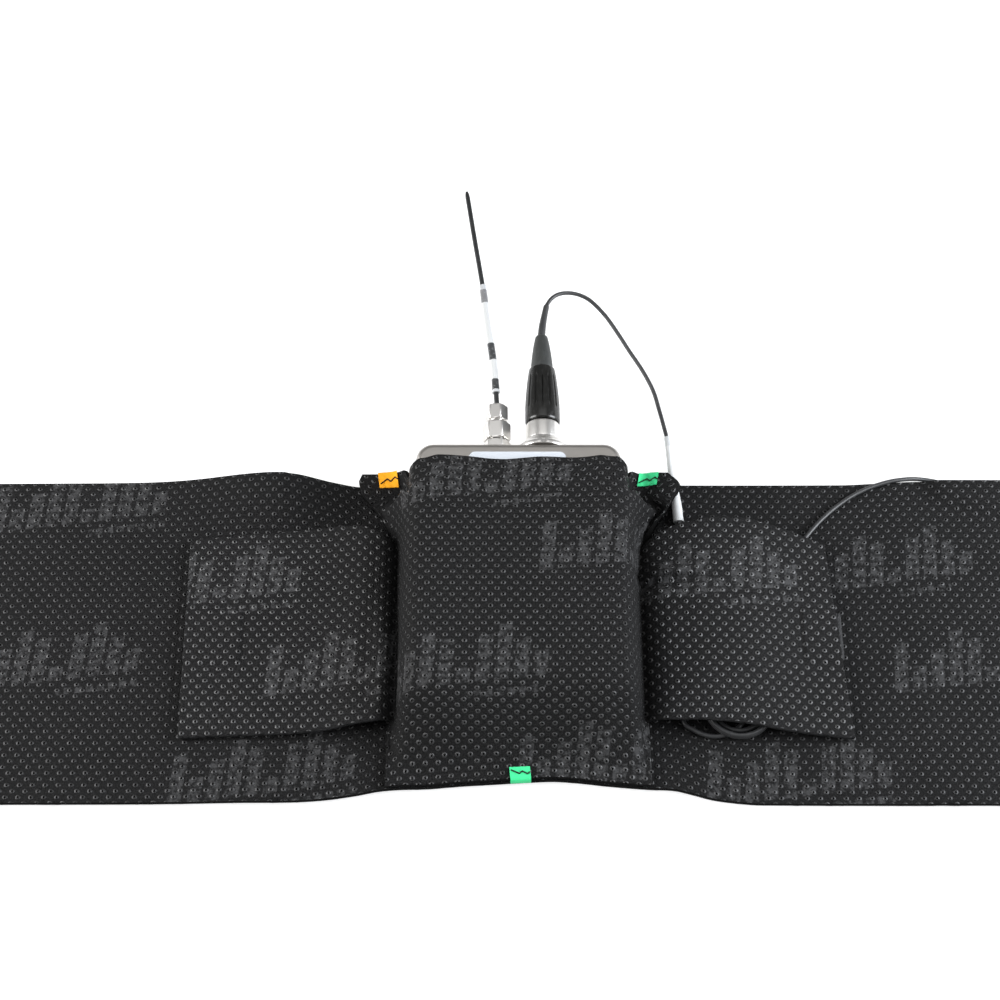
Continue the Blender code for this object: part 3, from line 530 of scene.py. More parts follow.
def turned(profile, axis, centre, segments=96, section=False, flute=None):
    """Revolve (radius, height) points; the ends are closed with flat caps unless section=True."""
    bm = bmesh.new()
    rings = []
    for radius, height in profile:
        ring = []
        for k in range(segments):
            angle = 2 * math.pi * k / segments
            reach = radius * (flute(angle, height) if flute else 1.0)
            local = Vector((reach * math.cos(angle), reach * math.sin(angle), height))
            ring.append(bm.verts.new(AXES[axis] @ local + Vector(centre)))
        rings.append(ring)
    join_rings(bm, rings + rings[:1] if section else rings)
    if not section:
        bm.faces.new(rings[0])
        bm.faces.new(reversed(rings[-1]))
    return bm


def rounded(profile, radius, steps=4):
    """Round each inner corner of an open profile of (radius, height) points."""
    result = [profile[0]]
    for before, corner, after in zip(profile, profile[1:], profile[2:]):
        c = Vector(corner)
        inward, outward = Vector(before) - c, Vector(after) - c
        reach = min(radius, inward.length * 0.45, outward.length * 0.45)
        start, end = c + inward.normalized() * reach, c + outward.normalized() * reach
        for k in range(steps + 1):
            t = k / steps
            result.append(tuple(start * (1 - t) ** 2 + c * 2 * t * (1 - t) + end * t ** 2))
    result.append(profile[-1])
    return result


def hex_prism(flats, axis_x, low, high, turn, bore, chamfer=0.4):
    """A hexagonal nut along Y with a turned chamfer at both ends and a bore."""
    bm = bmesh.new()
    corner = flats / math.sqrt(3)
    segments = 96

    def reach(angle, cap):
        local = (angle - math.radians(turn)) % (math.pi / 3) - math.pi / 6
        return min(flats / 2 / math.cos(local), cap)

    angles = [2 * math.pi * k / segments for k in range(segments)]
    rings = []
    for cap, height in ((corner - chamfer * 1.2, low), (corner - chamfer * 0.3, low + chamfer * 0.55),
                        (corner, low + chamfer), (corner, high - chamfer),
                        (corner - chamfer * 0.3, high - chamfer * 0.55), (corner - chamfer * 1.2, high)):
        rings.append([bm.verts.new((axis_x + reach(a, cap) * math.sin(a), height,
                                    MID + reach(a, cap) * math.cos(a))) for a in angles])
    for height in (high, low):
        rings.append([bm.verts.new((axis_x + bore * math.sin(a), height, MID + bore * math.cos(a)))
                      for a in angles])
    join_rings(bm, rings + rings[:1])
    return bm


def swept_tube(name, route, radii, finish, sides=24, squash=1.0):
    """A tube along a route with a radius at each point, its cloth UV's v running 0..1 end to end."""
    bm = bmesh.new()
    uv = bm.loops.layers.uv.new("cloth")
    total = route_length(route)
    rings, shares, covered = [], [], 0.0
    for index, place in enumerate(route):
        ahead = route[min(index + 1, len(route) - 1)] - route[max(index - 1, 0)]
        side = ahead.cross(Vector((0, 0, 1))).normalized()
        up = side.cross(ahead).normalized()
        radius = radii[index] if isinstance(radii, (list, tuple)) else radii
        rings.append([bm.verts.new(place + side * radius * math.cos(a) + up * radius * squash * math.sin(a))
                      for a in (2 * math.pi * k / sides for k in range(sides))])
        if index:
            covered += (place - route[index - 1]).length
        shares.append(covered / total)
    for index in range(len(rings) - 1):
        for k in range(sides):
            quad = (rings[index][k], rings[index][(k + 1) % sides],
                    rings[index + 1][(k + 1) % sides], rings[index + 1][k])
            face = bm.faces.new(quad)
            corners = ((k, index), (k + 1, index), (k + 1, index + 1), (k, index + 1))
            for loop, (su, sv) in zip(face.loops, corners):
                loop[uv].uv = (su / sides, shares[sv])
    for ring, share in ((rings[0], 0.0), (list(reversed(rings[-1])), 1.0)):
        face = bm.faces.new(ring)
        for loop in face.loops:
            loop[uv].uv = (0.5, share)
    return add_piece(name, bm, finish, sharp_angle=50.0)


NO_PRINT = Vector((999, 999))               # a place so far away that no print shows


def cloth_solid(name, front, uvs, thickness, finishes=("fabric", "foam_edge_painted_light"), ragged=0.12, prints=()):
    """A sheet of laminate: front is a grid of points, uvs its flat places in millimetres.

    The back is offset along the grid's normals, and the cut edge between them is slightly ragged.
    prints lists the flat places where the print repeats; its own layer holds the offset to the nearest.
    """
    rows, columns = len(front), len(front[0])
    normals = []
    for i in range(rows):
        line = []
        for j in range(columns):
            along = front[min(i + 1, rows - 1)][j] - front[max(i - 1, 0)][j]
            across = front[i][min(j + 1, columns - 1)] - front[i][max(j - 1, 0)]
            line.append(across.cross(along).normalized())
        normals.append(line)
    bm = bmesh.new()
    layer = bm.loops.layers.uv.new("cloth")
    print_layer = bm.loops.layers.uv.new("print")
    tilt = Matrix.Rotation(math.radians(-7), 2)
    chance = random.Random(len(name) * 7 + rows)
    top = [[bm.verts.new(p) for p in row] for row in front]
    low = [[bm.verts.new(front[i][j] - normals[i][j] * thickness) for j in range(columns)]
           for i in range(rows)]

    def skin(grid, flip, slot):
        for i in range(rows - 1):
            for j in range(columns - 1):
                places = [(i, j), (i, j + 1), (i + 1, j + 1), (i + 1, j)]
                if flip:
                    places.reverse()
                face = bm.faces.new([grid[a][b] for a, b in places])
                face.material_index = slot
                flat = Vector(uvs[i][j])
                centre = min((Vector(p) for p in prints), key=lambda p: (p - flat).length, default=NO_PRINT)
                for loop, (a, b) in zip(face.loops, places):
                    loop[layer].uv = uvs[a][b]
                    loop[print_layer].uv = tilt @ (Vector(uvs[a][b]) - centre)

    skin(top, False, 0)
    skin(low, True, 0)
    rim = ([(0, j) for j in range(columns)] + [(i, columns - 1) for i in range(1, rows)]
           + [(rows - 1, j) for j in range(columns - 2, -1, -1)] + [(i, 0) for i in range(rows - 2, 0, -1)])
    middle = []
    for i, j in rim:
        inside = front[min(max(i, 1), rows - 2)][min(max(j, 1), columns - 2)]
        out = (front[i][j] - inside).normalized()
        bulge = 0.28 + ragged * chance.uniform(-1, 1)
        centre = (top[i][j].co + low[i][j].co) / 2
        middle.append(bm.verts.new(centre + out * bulge))
    for k, (i, j) in enumerate(rim):
        m, n = rim[(k + 1) % len(rim)]
        here, there = middle[k], middle[(k + 1) % len(rim)]
        for quad in ((top[m][n], top[i][j], here, there), (there, here, low[i][j], low[m][n])):
            face = bm.faces.new(quad)
            face.material_index = 1
            for loop in face.loops:
                loop[layer].uv = uvs[i][j]
    return add_piece(name, bm, list(finishes), sharp_angle=75.0)


def ripple(x, y, scale, seed):
    """Smooth noise in -1..1."""
    return noise.noise(Vector((x / scale, y / scale, seed)))


# ---- Cord ------------------------------------------------------------------------------------
def coil_turns(centre, start_angle, turns, radius_at, height_at, direction):
    """Points round a coil, 14 a turn, from its start angle; radius and height are read by share."""
    count = int(abs(turns) * 14)
    points = []
    for k in range(1, count):
        share = k / count
        angle = math.radians(start_angle) + direction * 2 * math.pi * turns * share
        radius = radius_at(share)
        points.append((centre[0] + radius * math.cos(angle), centre[1] + radius * math.sin(angle),
                       height_at(share)))
    return points


def pocket_coil_points():
    """Turns laid into the right-hand pocket: one to the left, then two and a half off to the right."""
    radii = [(0.0, 11.2), (0.068, 11.0), (0.2, 10.6), (0.357, 10.3), (0.647, 10.2), (0.8, 9.0),
             (0.937, 8.2), (1.0, 8.2)]
    heights = [(0.0, 3.45), (0.12, 3.45), (0.3, 4.0), (0.5, 4.3), (0.62, 5.4), (0.75, 5.2), (0.9, 3.9),
               (1.0, 4.9)]
    points = []
    for k in range(1, 52):
        share = k / 52
        angle = math.radians(186.0 + 1242.0 * share)
        drift = ease(share, 0.1, 0.33)
        radius = between_smooth(share, radii)
        points.append((58.8 + 7.7 * drift + radius * math.cos(angle),
                       -22.2 - 1.1 * drift + radius * math.sin(angle), between_smooth(share, heights)))
    return points


def tail_coil_points():
    """Three turns lying on the ground, turning back towards the guitar plug."""
    def radius(share):
        return 10.15 - 1.2 * math.sin(math.pi * share)

    def height(share):
        return 0.85 + 1.55 * ease(share, 0.05, 0.55) - 0.75 * ease(share, 0.85, 1.0)

    return coil_turns(TAIL_COIL, 176.0, 3.2, radius, height, -1)


def build_cord():
    """The whole lead as one free cord, from its strain relief to the guitar plug's boot."""
    route = smooth_route(LEAD_IN + MARKER + POCKET_ENTRY[1:] + pocket_coil_points() + LEAD_OUT
                         + tail_coil_points() + JACK_LEAD, 1.25)
    data = bpy.data.curves.new("instrument_cord", "CURVE")
    data.dimensions = "3D"
    data.bevel_depth = CORD / 2 * MM
    data.bevel_resolution = 4
    data.use_fill_caps = True
    spline = data.splines.new("POLY")
    spline.points.add(len(route) - 1)
    for knot, place in zip(spline.points, route):
        knot.co = (*(place * MM), 1.0)
    spline.use_smooth = True
    data.materials.append(material("jacket"))
    cord = bpy.data.objects.new("instrument_cord", data)
    bpy.context.scene.collection.objects.link(cord)
    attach(cord, ROOT)
    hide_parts("cord_lead_in", "cord_pocket_entry", "cord_pocket_coil", "cord_lead_out",
                "cord_tail_coil", "cord_jack_lead")
    sleeve = build_cord_marker()
    jack = build_jack()


def build_cord_marker():
    """White marker tube round the cord where it passes under the right wing, wider at its lower end."""
    route = smooth_route(MARKER, 0.8)
    radii = [1.0 + 0.68 * (1 - ease(p.y, 42.0, 62.0)) + 0.02 * math.sin(1.7 * k) for k, p in enumerate(route)]
    sleeve = swept_tube("cord_marker_tube", route, radii, "marker", 28)
    return stand_for(sleeve, "cord_marker_sleeve")


def build_jack():
    """Straight guitar plug: ribbed boot, knurled barrel, tip and sleeve with insulator rings."""
    axis = (JACK_START, *JACK_AXIS)
    ribs = [(1.3, 0.0), (1.75, 0.3)]
    for k in range(6):
        base = 1.2 + 1.45 * k
        reach = 1.9 + 0.16 * k
        ribs += [(reach, base), (reach, base + 0.75),
                 (reach - 0.35, base + 0.95), (reach - 0.35, base + 1.35)]
    boot = add_piece("jack_boot_ribbed", turned(ribs + [(3.3, 10.3), (3.6, 12.1)], "X", axis, 48), "boot")

    def knurl(angle, height):
        in_band = ease(height, 30.0, 30.6) * (1 - ease(height, 38.4, 39.0))
        return 1.0 - 0.03 * in_band * (0.5 + 0.5 * math.cos(48 * angle)) * (0.5 + 0.5 * math.cos(height * 7))

    shape = rounded([(3.9, 12.2), (5.3, 13.6), (5.5, 15.5), (5.5, 29.6), (5.2, 29.8), (5.5, 30.1)], 0.3)
    shape += [(5.5, 30.1 + 0.35 * k) for k in range(1, 26)]
    shape += rounded([(5.5, 39.4), (5.5, 40.0), (5.1, 41.2), (3.4, 41.6)], 0.4)
    barrel = add_piece("jack_barrel_turned", turned(shape, "X", axis, 144, flute=knurl), "plated")
    shape = rounded([(3.0, 41.8), (3.17, 42.2), (3.17, 63.9), (2.9, 64.0)], 0.15)
    shaft = add_piece("jack_shaft_turned", turned(shape, "X", axis, 64), "plated")
    shape = [(3.0, 64.1), (3.02, 64.3), (3.02, 65.2), (3.0, 65.4)]
    insulator = add_piece("jack_insulator", turned(shape, "X", axis, 64), "black_plastic")
    shape = rounded([(2.9, 65.6), (3.1, 65.8), (3.1, 67.5), (2.3, 68.8), (3.05, 70.4), (2.3, 72.6),
                     (0.4, 73.4)], 0.5)
    tip = add_piece("jack_tip_turned", turned(shape, "X", axis, 64), "plated")
    for piece, node, slot in ((boot, "jack_boot", "boot_rubber"), (barrel, "jack_barrel", "connector_metal"),
                              (shaft, "jack_shaft", "connector_metal"), (tip, "jack_tip", "connector_metal")):
        stand_for(piece, node)
    extra(insulator)
    return [boot, barrel, shaft, tip]


# ---- Strap -----------------------------------------------------------------------------------
BAND_HALF = 300.0
BAND_THICK = 2.5
BAND_WIDTH = 106.5
POUCH_RISE = 18.1                           # from the pouch's foot to its face


def strap_low(x):
    """The strap's lower edge, drawn in under the pouch."""
    return between_smooth(x, [(-200, -53.6), (-110, -53.4), (-85, -53.0), (-70, -52.9), (-60, -52.3),
                              (-50, -50.9), (-44, -49.7), (-38, -49.1), (-28, -48.8), (-20, -48.1),
                              (-10, -47.5), (0, -46.9), (9, -46.5), (16, -46.9), (26, -48.0), (38, -49.0),
                              (46, -49.3), (51, -50.5), (57, -52.1), (63, -53.0), (72, -53.7), (200, -53.8)])


def strap_high(x):
    """The strap's upper edge."""
    return between_smooth(x, [(-200, 52.6), (-150, 52.8), (-110, 53.1), (-90, 53.3), (-75, 53.1),
                              (-60, 52.1), (-52, 51.3), (-42, 52.3), (40, 52.2), (105, 52.3), (112, 52.6),
                              (120, 53.1), (127, 53.4), (132, 53.4), (138, 53.1), (200, 53.0)])


UNDER_PATH = [Vector(p[:2]).lerp(Vector(q[:2]), k / 4)
              for p, q in zip(UNDER_BAND, UNDER_BAND[1:]) for k in range(5)]


def band_lift(x, y):
    """Where the strap stands off the ground: over the cord, and in a wave at its upper left edge."""
    lift = 0.0
    if 120.0 < x < 200.0:
        place = Vector((x, y))
        gap = min((place - p).length for p in UNDER_PATH)
        lift = 2.2 * (1 - ease(gap, 3.6, 11.0))
    rise = 8.0 if x < -76.0 else 7.4
    width = 27.0 if x < -76.0 else 13.0
    wave = rise * math.exp(-((x + 76.0) / width) ** 2) * ease(y, 27.0, 54.0)
    calm = 1 - ease(x, 40.0, 48.0) * (1 - ease(x, 118.0, 124.0))
    return lift + wave + 0.22 * (1 + ripple(x, y, 34.0, 2.0)) * calm


def build_band():
    xs = [-BAND_HALF + 2 * BAND_HALF * k / 400 for k in range(401)]
    shares = [k / 64 for k in range(65)]
    front, uvs = [], []
    for t in shares:
        line, flat = [], []
        for x in xs:
            y = strap_low(x) + (strap_high(x) - strap_low(x)) * t
            line.append(Vector((x, y, band_lift(x, y) + BAND_THICK)))
            flat.append((x, -54.0 + BAND_WIDTH * t))
        front.append(line)
        uvs.append(flat)
    prints = [(-147.0, -7.0), (-143.0, 47.0), (-78.0, -43.0), (84.0, -43.0), (144.0, -7.0), (117.0, 26.0),
              (-215.0, -34.0), (-262.0, 12.0), (-205.0, 24.0), (205.0, -38.0), (262.0, -4.0), (200.0, 36.0)]
    band = cloth_solid("strap_band", front, uvs, BAND_THICK, prints=prints)
    stand_for(band, "belt_band")


def wing_edge(y, side):
    """How far the pouch's cloth reaches along the strap: narrow below, in two wings at the mouth."""
    left = [(-47.0, 41.2), (-31.0, 40.9), (-27.0, 40.1), (24.0, 39.9), (29.0, 40.3), (34.2, 42.4),
            (40.6, 45.8), (44.5, 49.0), (47.8, 51.7), (49.9, 52.2), (53.0, 52.5), (56.0, 51.4)]
    right = [(-47.0, 38.8), (-31.0, 38.6), (-27.0, 38.2), (26.0, 38.2), (29.0, 38.5), (32.6, 39.8),
             (37.5, 43.2), (40.8, 46.4), (45.0, 48.8), (48.4, 51.0), (50.4, 51.6), (52.4, 50.6), (54.4, 48.4),
             (56.0, 47.0)]
    return between_smooth(y, left if side < 0 else right)


def pouch_low(x):
    return strap_low(x) + 0.3


def pouch_high(x):
    """The pouch's upper cut edge: a wavy mouth over the pack, then the two wings."""
    off = abs(x - PACK_X)
    wing = 54.9 if x < 0 else 54.4
    mouth = (51.8 + 2.1 * (off / 34.0) ** 2 + 0.35 * math.sin(x / 4.1)
             - 1.3 * ease(off, 25.0, 31.0) - 3.0 * ease(off, 31.0, 35.5))
    return mouth + (wing - mouth) * ease(off, 34.9, 37.3)


def pouch_row(y):
    """Control points (x, z) of the pouch's outer face across the strap at one y."""
    web = 1 - ease(y, 41.0, 47.5)
    tent = ease(y, 24.0, 33.0) * web
    along = min(max((-16.5 - y) / 30.5, 0.0), 1.0)
    lift = 0.5 * (1 + math.cos(math.pi * along))
    base = BAND_THICK + 0.35 + CLOTH
    over_cord = 2.75 * ease(y, 26.0, 42.0)
    hem = 3.8 * ease(y, 47.5, 54.5)
    steep = [(36.8, 0.1), (35.7, 2.3), (35.1, 7.0), (34.8, 12.0), (34.3, 15.2), (32.9, 17.3),
             (29.5, POUCH_RISE)]
    slant = [(38.7, 0.2), (37.5, 2.8), (36.8, 6.4), (36.2, 10.0), (35.3, 13.6), (33.3, 16.6),
             (29.5, POUCH_RISE)]

    def half(side):
        edge = wing_edge(y, side)
        raised = over_cord if side > 0 else 0.4 * ease(y, 40.0, 52.0)
        spread = max(side * (side * edge - PACK_X) - 38.7, 0.0) * tent
        wall = [(PACK_X + side * (a + (c - a) * web + spread * share), (b + (d - b) * web) * lift)
                for (a, b), (c, d), share in zip(steep, slant, (0.75, 0.6, 0.46, 0.33, 0.2, 0.1, 0.0))]
        foot = wall[0][0]
        wing = [(side * edge + (foot - side * edge) * t, raised * (1 - ease(t, 0.3, 0.9)) + hem * t ** 4)
                for t in (0.0, 0.25, 0.5, 0.75)]
        wall = [(x, z + hem * (1 - z / POUCH_RISE)) for x, z in wall]
        return [(x, base + z) for x, z in wing + wall]

    crown = [(PACK_X + x, base + POUCH_RISE * lift) for x in (-20.0, -10.0, 0.0, 10.0, 20.0)]
    return half(-1) + crown + list(reversed(half(1)))


def build_pouch():
    rows = 150
    columns = 230
    front, uvs = [], []
    centre_v, before = 0.0, None
    for i in range(rows + 1):
        y = -47.0 + 102.0 * i / rows
        line = smooth_route([(x, 0.0, z) for x, z in pouch_row(y)], 0.62)
        total = route_length(line)
        line = smooth_route([(p.x, p.y, p.z) for p in line], total / columns)[:columns + 1]
        while len(line) < columns + 1:
            line.append(line[-1].copy())
        placed, flat = [], []
        reach = [0.0]
        for a, b in zip(line, line[1:]):
            reach.append(reach[-1] + (b - a).length)
        middle = min(range(len(line)), key=lambda k: abs(line[k].x))
        for j, p in enumerate(line):
            cut = ((pouch_high(p.x) - 55.0) * ease(y, 28.0, 55.0)
                   + (pouch_low(p.x) + 47.0) * (1 - ease(y, -47.0, -29.0)))
            z = p.z + pouch_folds(p.x, y)
            placed.append(Vector((p.x, y + cut, z)))
            flat.append((reach[j] - reach[middle], 0.0))
        if before is not None:
            centre_v += (placed[middle] - before).length
        before = placed[middle]
        front.append(placed)
        uvs.append([(u, centre_v) for u, _ in flat])
    # The pouch's cut edge takes the foam edge darkened as painted shade.
    pouch = cloth_solid("pouch_front_cloth", front, uvs, CLOTH - 0.1, ("pouch_fabric", "foam_edge_painted_light"),
                        prints=[(-20.0, 38.0), (-12.0, 101.0), (34.0, 78.0), (27.0, 9.0)])
    stand_for(pouch, "pouch_front")


def pouch_folds(x, y):
    """Soft folds: two ridges below the pack's lower corners, a hollow between them, and faint waves."""
    t = min(max((-14.0 - y) / 31.0, 0.0), 1.0)
    below = math.sin(math.pi * t)
    ridges = math.exp(-((abs(x) - 21.0 - 6 * t) / 8.0) ** 2)
    hollow = math.exp(-((x - 3.0) / 9.0) ** 2)
    edge = 1 - ease(abs(x - PACK_X), 26.0, 32.0)
    waves = 0.25 * ripple(x, y, 21.0, 7.0) * ease(y, -47.0, -38.0)
    mouth = 0.35 * math.sin(x / 5.2 + 0.6) * ease(y, 38.0, 52.0) * edge
    return below * edge * (1.0 * ridges - 1.3 * hollow) + waves * edge + max(mouth, -0.1)


FLAPS = {
    -1: {"root": 39.6, "end": (104.5, 106.0),
         "top": [(39.6, 26.5), (41.2, 29.3), (43.4, 31.3), (46.4, 33.1), (50.0, 34.6), (58.0, 35.3),
                 (71.0, 34.5), (104.0, 31.7), (106.0, 30.8)],
         "low": [(39.6, -28.9), (46.1, -29.8), (52.2, -30.6), (58.3, -31.7), (67.4, -32.6), (79.6, -33.0),
                 (91.8, -33.3), (103.5, -33.8), (106.0, -33.2)],
         "height": [(39.6, 5.6), (40.6, 6.8), (42.0, 8.0), (43.8, 8.9), (46.0, 9.2), (48.6, 9.2), (52.2, 8.6),
                    (58.3, 7.3), (67.0, 6.2), (79.0, 5.5), (92.0, 5.1), (106.0, 4.9)]},
    1: {"root": 37.6, "end": (100.9, 97.0),
        "top": [(37.6, 27.0), (39.4, 29.6), (41.6, 31.3), (44.8, 32.9), (49.0, 35.0), (54.4, 36.2),
                (61.3, 37.4), (67.0, 37.6), (74.0, 36.8), (82.0, 34.8), (90.0, 32.4), (97.5, 29.4)],
        "low": [(37.6, -28.9), (46.6, -29.4), (53.5, -29.6), (59.5, -30.0), (65.5, -30.5), (71.6, -31.2),
                (77.7, -32.1), (90.1, -33.3), (101.0, -34.0)],
        "height": [(37.6, 5.8), (38.8, 7.0), (40.4, 8.2), (42.4, 9.2), (45.0, 9.8), (48.6, 10.0),
                   (54.0, 10.3), (62.0, 10.2), (72.0, 9.5), (82.0, 7.8), (90.0, 6.2), (101.0, 5.0)]},
}


def build_flap(side, node, gusset, name):
    """A pocket flap: it dives beside the pouch, arches over the cord and rests on its hook tape."""
    shape = FLAPS[side]
    columns, rows = 140, 130
    front, uvs = [], []
    for i in range(rows + 1):
        t = i / rows
        end = shape["end"][0] + (shape["end"][1] - shape["end"][0]) * t
        root = shape["root"] - (1.0 * (1 - ease(t, 0.5, 0.8)) if side < 0 else 0.4)
        span = [root + (end - root) * j / columns for j in range(columns + 1)]
        if side < 0:
            span.reverse()
        line, flat = [], []
        for reach in span:
            low, high = between_smooth(reach, shape["low"]), between_smooth(reach, shape["top"])
            y = low + (high - low) * t
            z = between_smooth(reach, shape["height"]) + flap_relief(side, reach, y)
            line.append(Vector((side * reach, y, z)))
            flat.append((side * reach + (1.3 if side > 0 else 0.7), y + 0.9))
        front.append(line)
        uvs.append(flat)
    prints = [(-97.0, 20.0), (-50.0, -8.0)] if side < 0 else [(61.0, 21.0)]
    # The flaps take the lit copy of the fabric and the lighter cut edge: painted light.
    flap = cloth_solid(name, front, uvs, CLOTH - 0.1, ("flap_fabric_lit", "cut_edge_painted_highlight"), prints=prints)
    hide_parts(node, gusset)
    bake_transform(flap)
    return flap


def flap_relief(side, reach, y):
    """Small heights on a flap: the tape pressing through, slack between, and one crease on the right."""
    patch = ease(reach, 87.0, 88.2) * ease(y, -10.5, -9.3) * (1 - ease(y, 7.0, 8.2))
    slack = (0.35 * ripple(reach * side, y, 22.0, 4.0) * ease(reach, 46.0, 52.0)
             * (1 - ease(reach, 88.0, 96.0)))
    z = 0.55 * patch + slack
    if side < 0:
        z += 1.9 * (1 - ease(reach, 41.0, 49.0)) * (1 - ease(y, -8.0, 16.0)) * ease(y, -30.0, -22.0)
    else:
        fold = 15.6 + 0.12 * (reach - 38.0)
        fade = 1 - ease(reach, 46.0, 64.0)
        z += 2.0 * fade * math.exp(-((y - fold - 1.9) / 1.7) ** 2)
        z -= 1.5 * fade * math.exp(-((y - fold + 1.0) / 1.2) ** 2)
        z -= 1.2 * (1 - ease(reach, 42.0, 62.0)) * ease(y, 20.0, 30.0)
        z += 0.7 * math.exp(-((reach - 63.0) / 13.0) ** 2 - ((y + 20.0) / 16.0) ** 2)
    return z


def between_smooth(value, table):
    """Reading of a table with a smooth curve through its points."""
    keys = [k for k, _ in table]
    results = [r for _, r in table]
    if value <= keys[0]:
        return results[0]
    if value >= keys[-1]:
        return results[-1]
    index = max(k for k in range(len(keys) - 1) if keys[k] <= value)
    slopes = []
    for k in (index, index + 1):
        a, b = max(k - 1, 0), min(k + 1, len(keys) - 1)
        slopes.append((results[b] - results[a]) / (keys[b] - keys[a]))
    step = keys[index + 1] - keys[index]
    t = (value - keys[index]) / step
    return ((2 * t ** 3 - 3 * t ** 2 + 1) * results[index] + (t ** 3 - 2 * t ** 2 + t) * step * slopes[0]
            + (-2 * t ** 3 + 3 * t ** 2) * results[index + 1] + (t ** 3 - t ** 2) * step * slopes[1])


def build_tape(name, node, body, x, y, z):
    """A sewn piece of hook tape: a rounded pad with a border of stitches pressed in."""
    bm = bmesh.new()
    nx, ny = 40, 40
    centre = ((x[0] + x[1]) / 2, (y[0] + y[1]) / 2)
    half = ((x[1] - x[0]) / 2, (y[1] - y[0]) / 2)
    grid = []
    for i in range(ny + 1):
        row = []
        for j in range(nx + 1):
            s, t = 2 * j / nx - 1, 2 * i / ny - 1
            inset = min((1 - abs(s)) * half[0], (1 - abs(t)) * half[1])
            z_here = z[1] - 0.35 * (1 - ease(inset, 0.0, 0.8)) - 0.25 * math.exp(-((inset - 2.0) / 0.5) ** 2)
            z_here += 0.08 * noise.noise(Vector((s * 25, t * 25, 3.0)))
            row.append(bm.verts.new((centre[0] + s * half[0], centre[1] + t * half[1], z_here)))
        grid.append(row)
    floor = [[bm.verts.new((v.co.x, v.co.y, z[0])) for v in row] for row in grid]
    for i in range(ny):
        for j in range(nx):
            bm.faces.new((grid[i][j], grid[i][j + 1], grid[i + 1][j + 1], grid[i + 1][j]))
            bm.faces.new((floor[i][j], floor[i + 1][j], floor[i + 1][j + 1], floor[i][j + 1]))
    rim = ([(0, j) for j in range(nx)] + [(i, nx) for i in range(ny)]
           + [(ny, j) for j in range(nx, 0, -1)] + [(i, 0) for i in range(ny, 0, -1)])
    for (i, j), (m, n) in zip(rim, rim[1:] + rim[:1]):
        bm.faces.new((floor[i][j], floor[m][n], grid[m][n], grid[i][j]))
    stand_for(add_piece(name, bm, "hook"), node, body)


def build_tapes():
    for node, name, body in (("belt_hook_tab", "end_hook_tape", ROOT),
                             ("belt_loop_pad", "end_loop_tape", ROOT),
                             ("left_flap_hook_patch", "left_flap_tape", "left_flap"),
                             ("right_flap_hook_patch", "right_flap_tape", "right_flap")):
        low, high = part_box(node)
        spans = [(a / MM, b / MM) for a, b in zip(low, high)]
        if body != ROOT:
            spans[2] = (2.85, 3.6)
        build_tape(name, node, body, *spans)


def pouch_face(x, y):
    """Height of the pouch's outer face outside its bulge."""
    return between_smooth(x, sorted(pouch_row(y)))


def build_tag(name, node, x, edge_y, lift, depth, finish, tilt=0.0, lean=0.0, fold_down=2.4):
    """A woven tag folded over an edge of the pouch: a front leaf, a round fold and a short back leaf."""
    half, thick, spread = 3.1, 0.42, 14
    inward = -1 if edge_y > 0 else 1
    path = [(edge_y + inward * depth * (1 - k / 8), 0.0) for k in range(9)]
    for k in range(1, 7):
        angle = math.radians(15 * k)
        path.append((edge_y - inward * 0.55 * math.sin(angle), -0.55 * (1 - math.cos(angle))))
    path.append((edge_y - inward * 0.55, -fold_down))

    def face(px, y):
        inside = min(y, edge_y) if inward < 0 else max(y, edge_y)
        return pouch_face(px, inside) + pouch_folds(px, inside) + lift

    bm = bmesh.new()
    top, low = [], []
    for index, (y, drop) in enumerate(path):
        a, b = path[max(index - 1, 0)], path[min(index + 1, len(path) - 1)]
        tangent = Vector((b[0] - a[0], b[1] - a[1])).normalized()
        normal = Vector((-tangent.y, tangent.x)) * (-inward)
        if normal.y < 0 and index < 8:
            normal = -normal
        line_top, line_low = [], []
        for k in range(spread + 1):
            s = 2 * k / spread - 1
            px = x + half * s - lean * (y - edge_y)
            z = face(px, y) + drop
            turn = tilt * s * half
            line_top.append(bm.verts.new((px, y + turn + normal.x * thick,
                                          z + normal.y * thick + 0.05 * math.sin(9 * s + index))))
            line_low.append(bm.verts.new((px, y + turn, z)))
        top.append(line_top)
        low.append(line_low)
    rows = len(path)
    for i in range(rows - 1):
        for k in range(spread):
            bm.faces.new((top[i][k], top[i][k + 1], top[i + 1][k + 1], top[i + 1][k]))
            bm.faces.new((low[i][k], low[i + 1][k], low[i + 1][k + 1], low[i][k + 1]))
        bm.faces.new((low[i][0], top[i][0], top[i + 1][0], low[i + 1][0]))
        bm.faces.new((low[i][spread], low[i + 1][spread], top[i + 1][spread], top[i][spread]))
    for k in range(spread):
        bm.faces.new((low[0][k], low[0][k + 1], top[0][k + 1], top[0][k]))
        bm.faces.new((low[-1][k], top[-1][k], top[-1][k + 1], low[-1][k + 1]))
    stand_for(add_piece(name, bm, finish), node)
    zigzag = []
    for s, share in ((-0.85, 0.74), (-0.08, 0.38), (0.2, 0.6), (0.72, 0.32), (0.97, 0.5)):
        y = edge_y + inward * depth * share
        px = x + half * s - lean * (y - edge_y)
        zigzag.append(Vector((px, y + tilt * s * half, face(px, y) + thick + 0.12)))
    route = [a.lerp(b, k / 8) for a, b in zip(zigzag, zigzag[1:]) for k in range(8)] + [zigzag[-1]]
    extra(swept_tube(name + "_stitch", route, 0.2, "thread", 8))


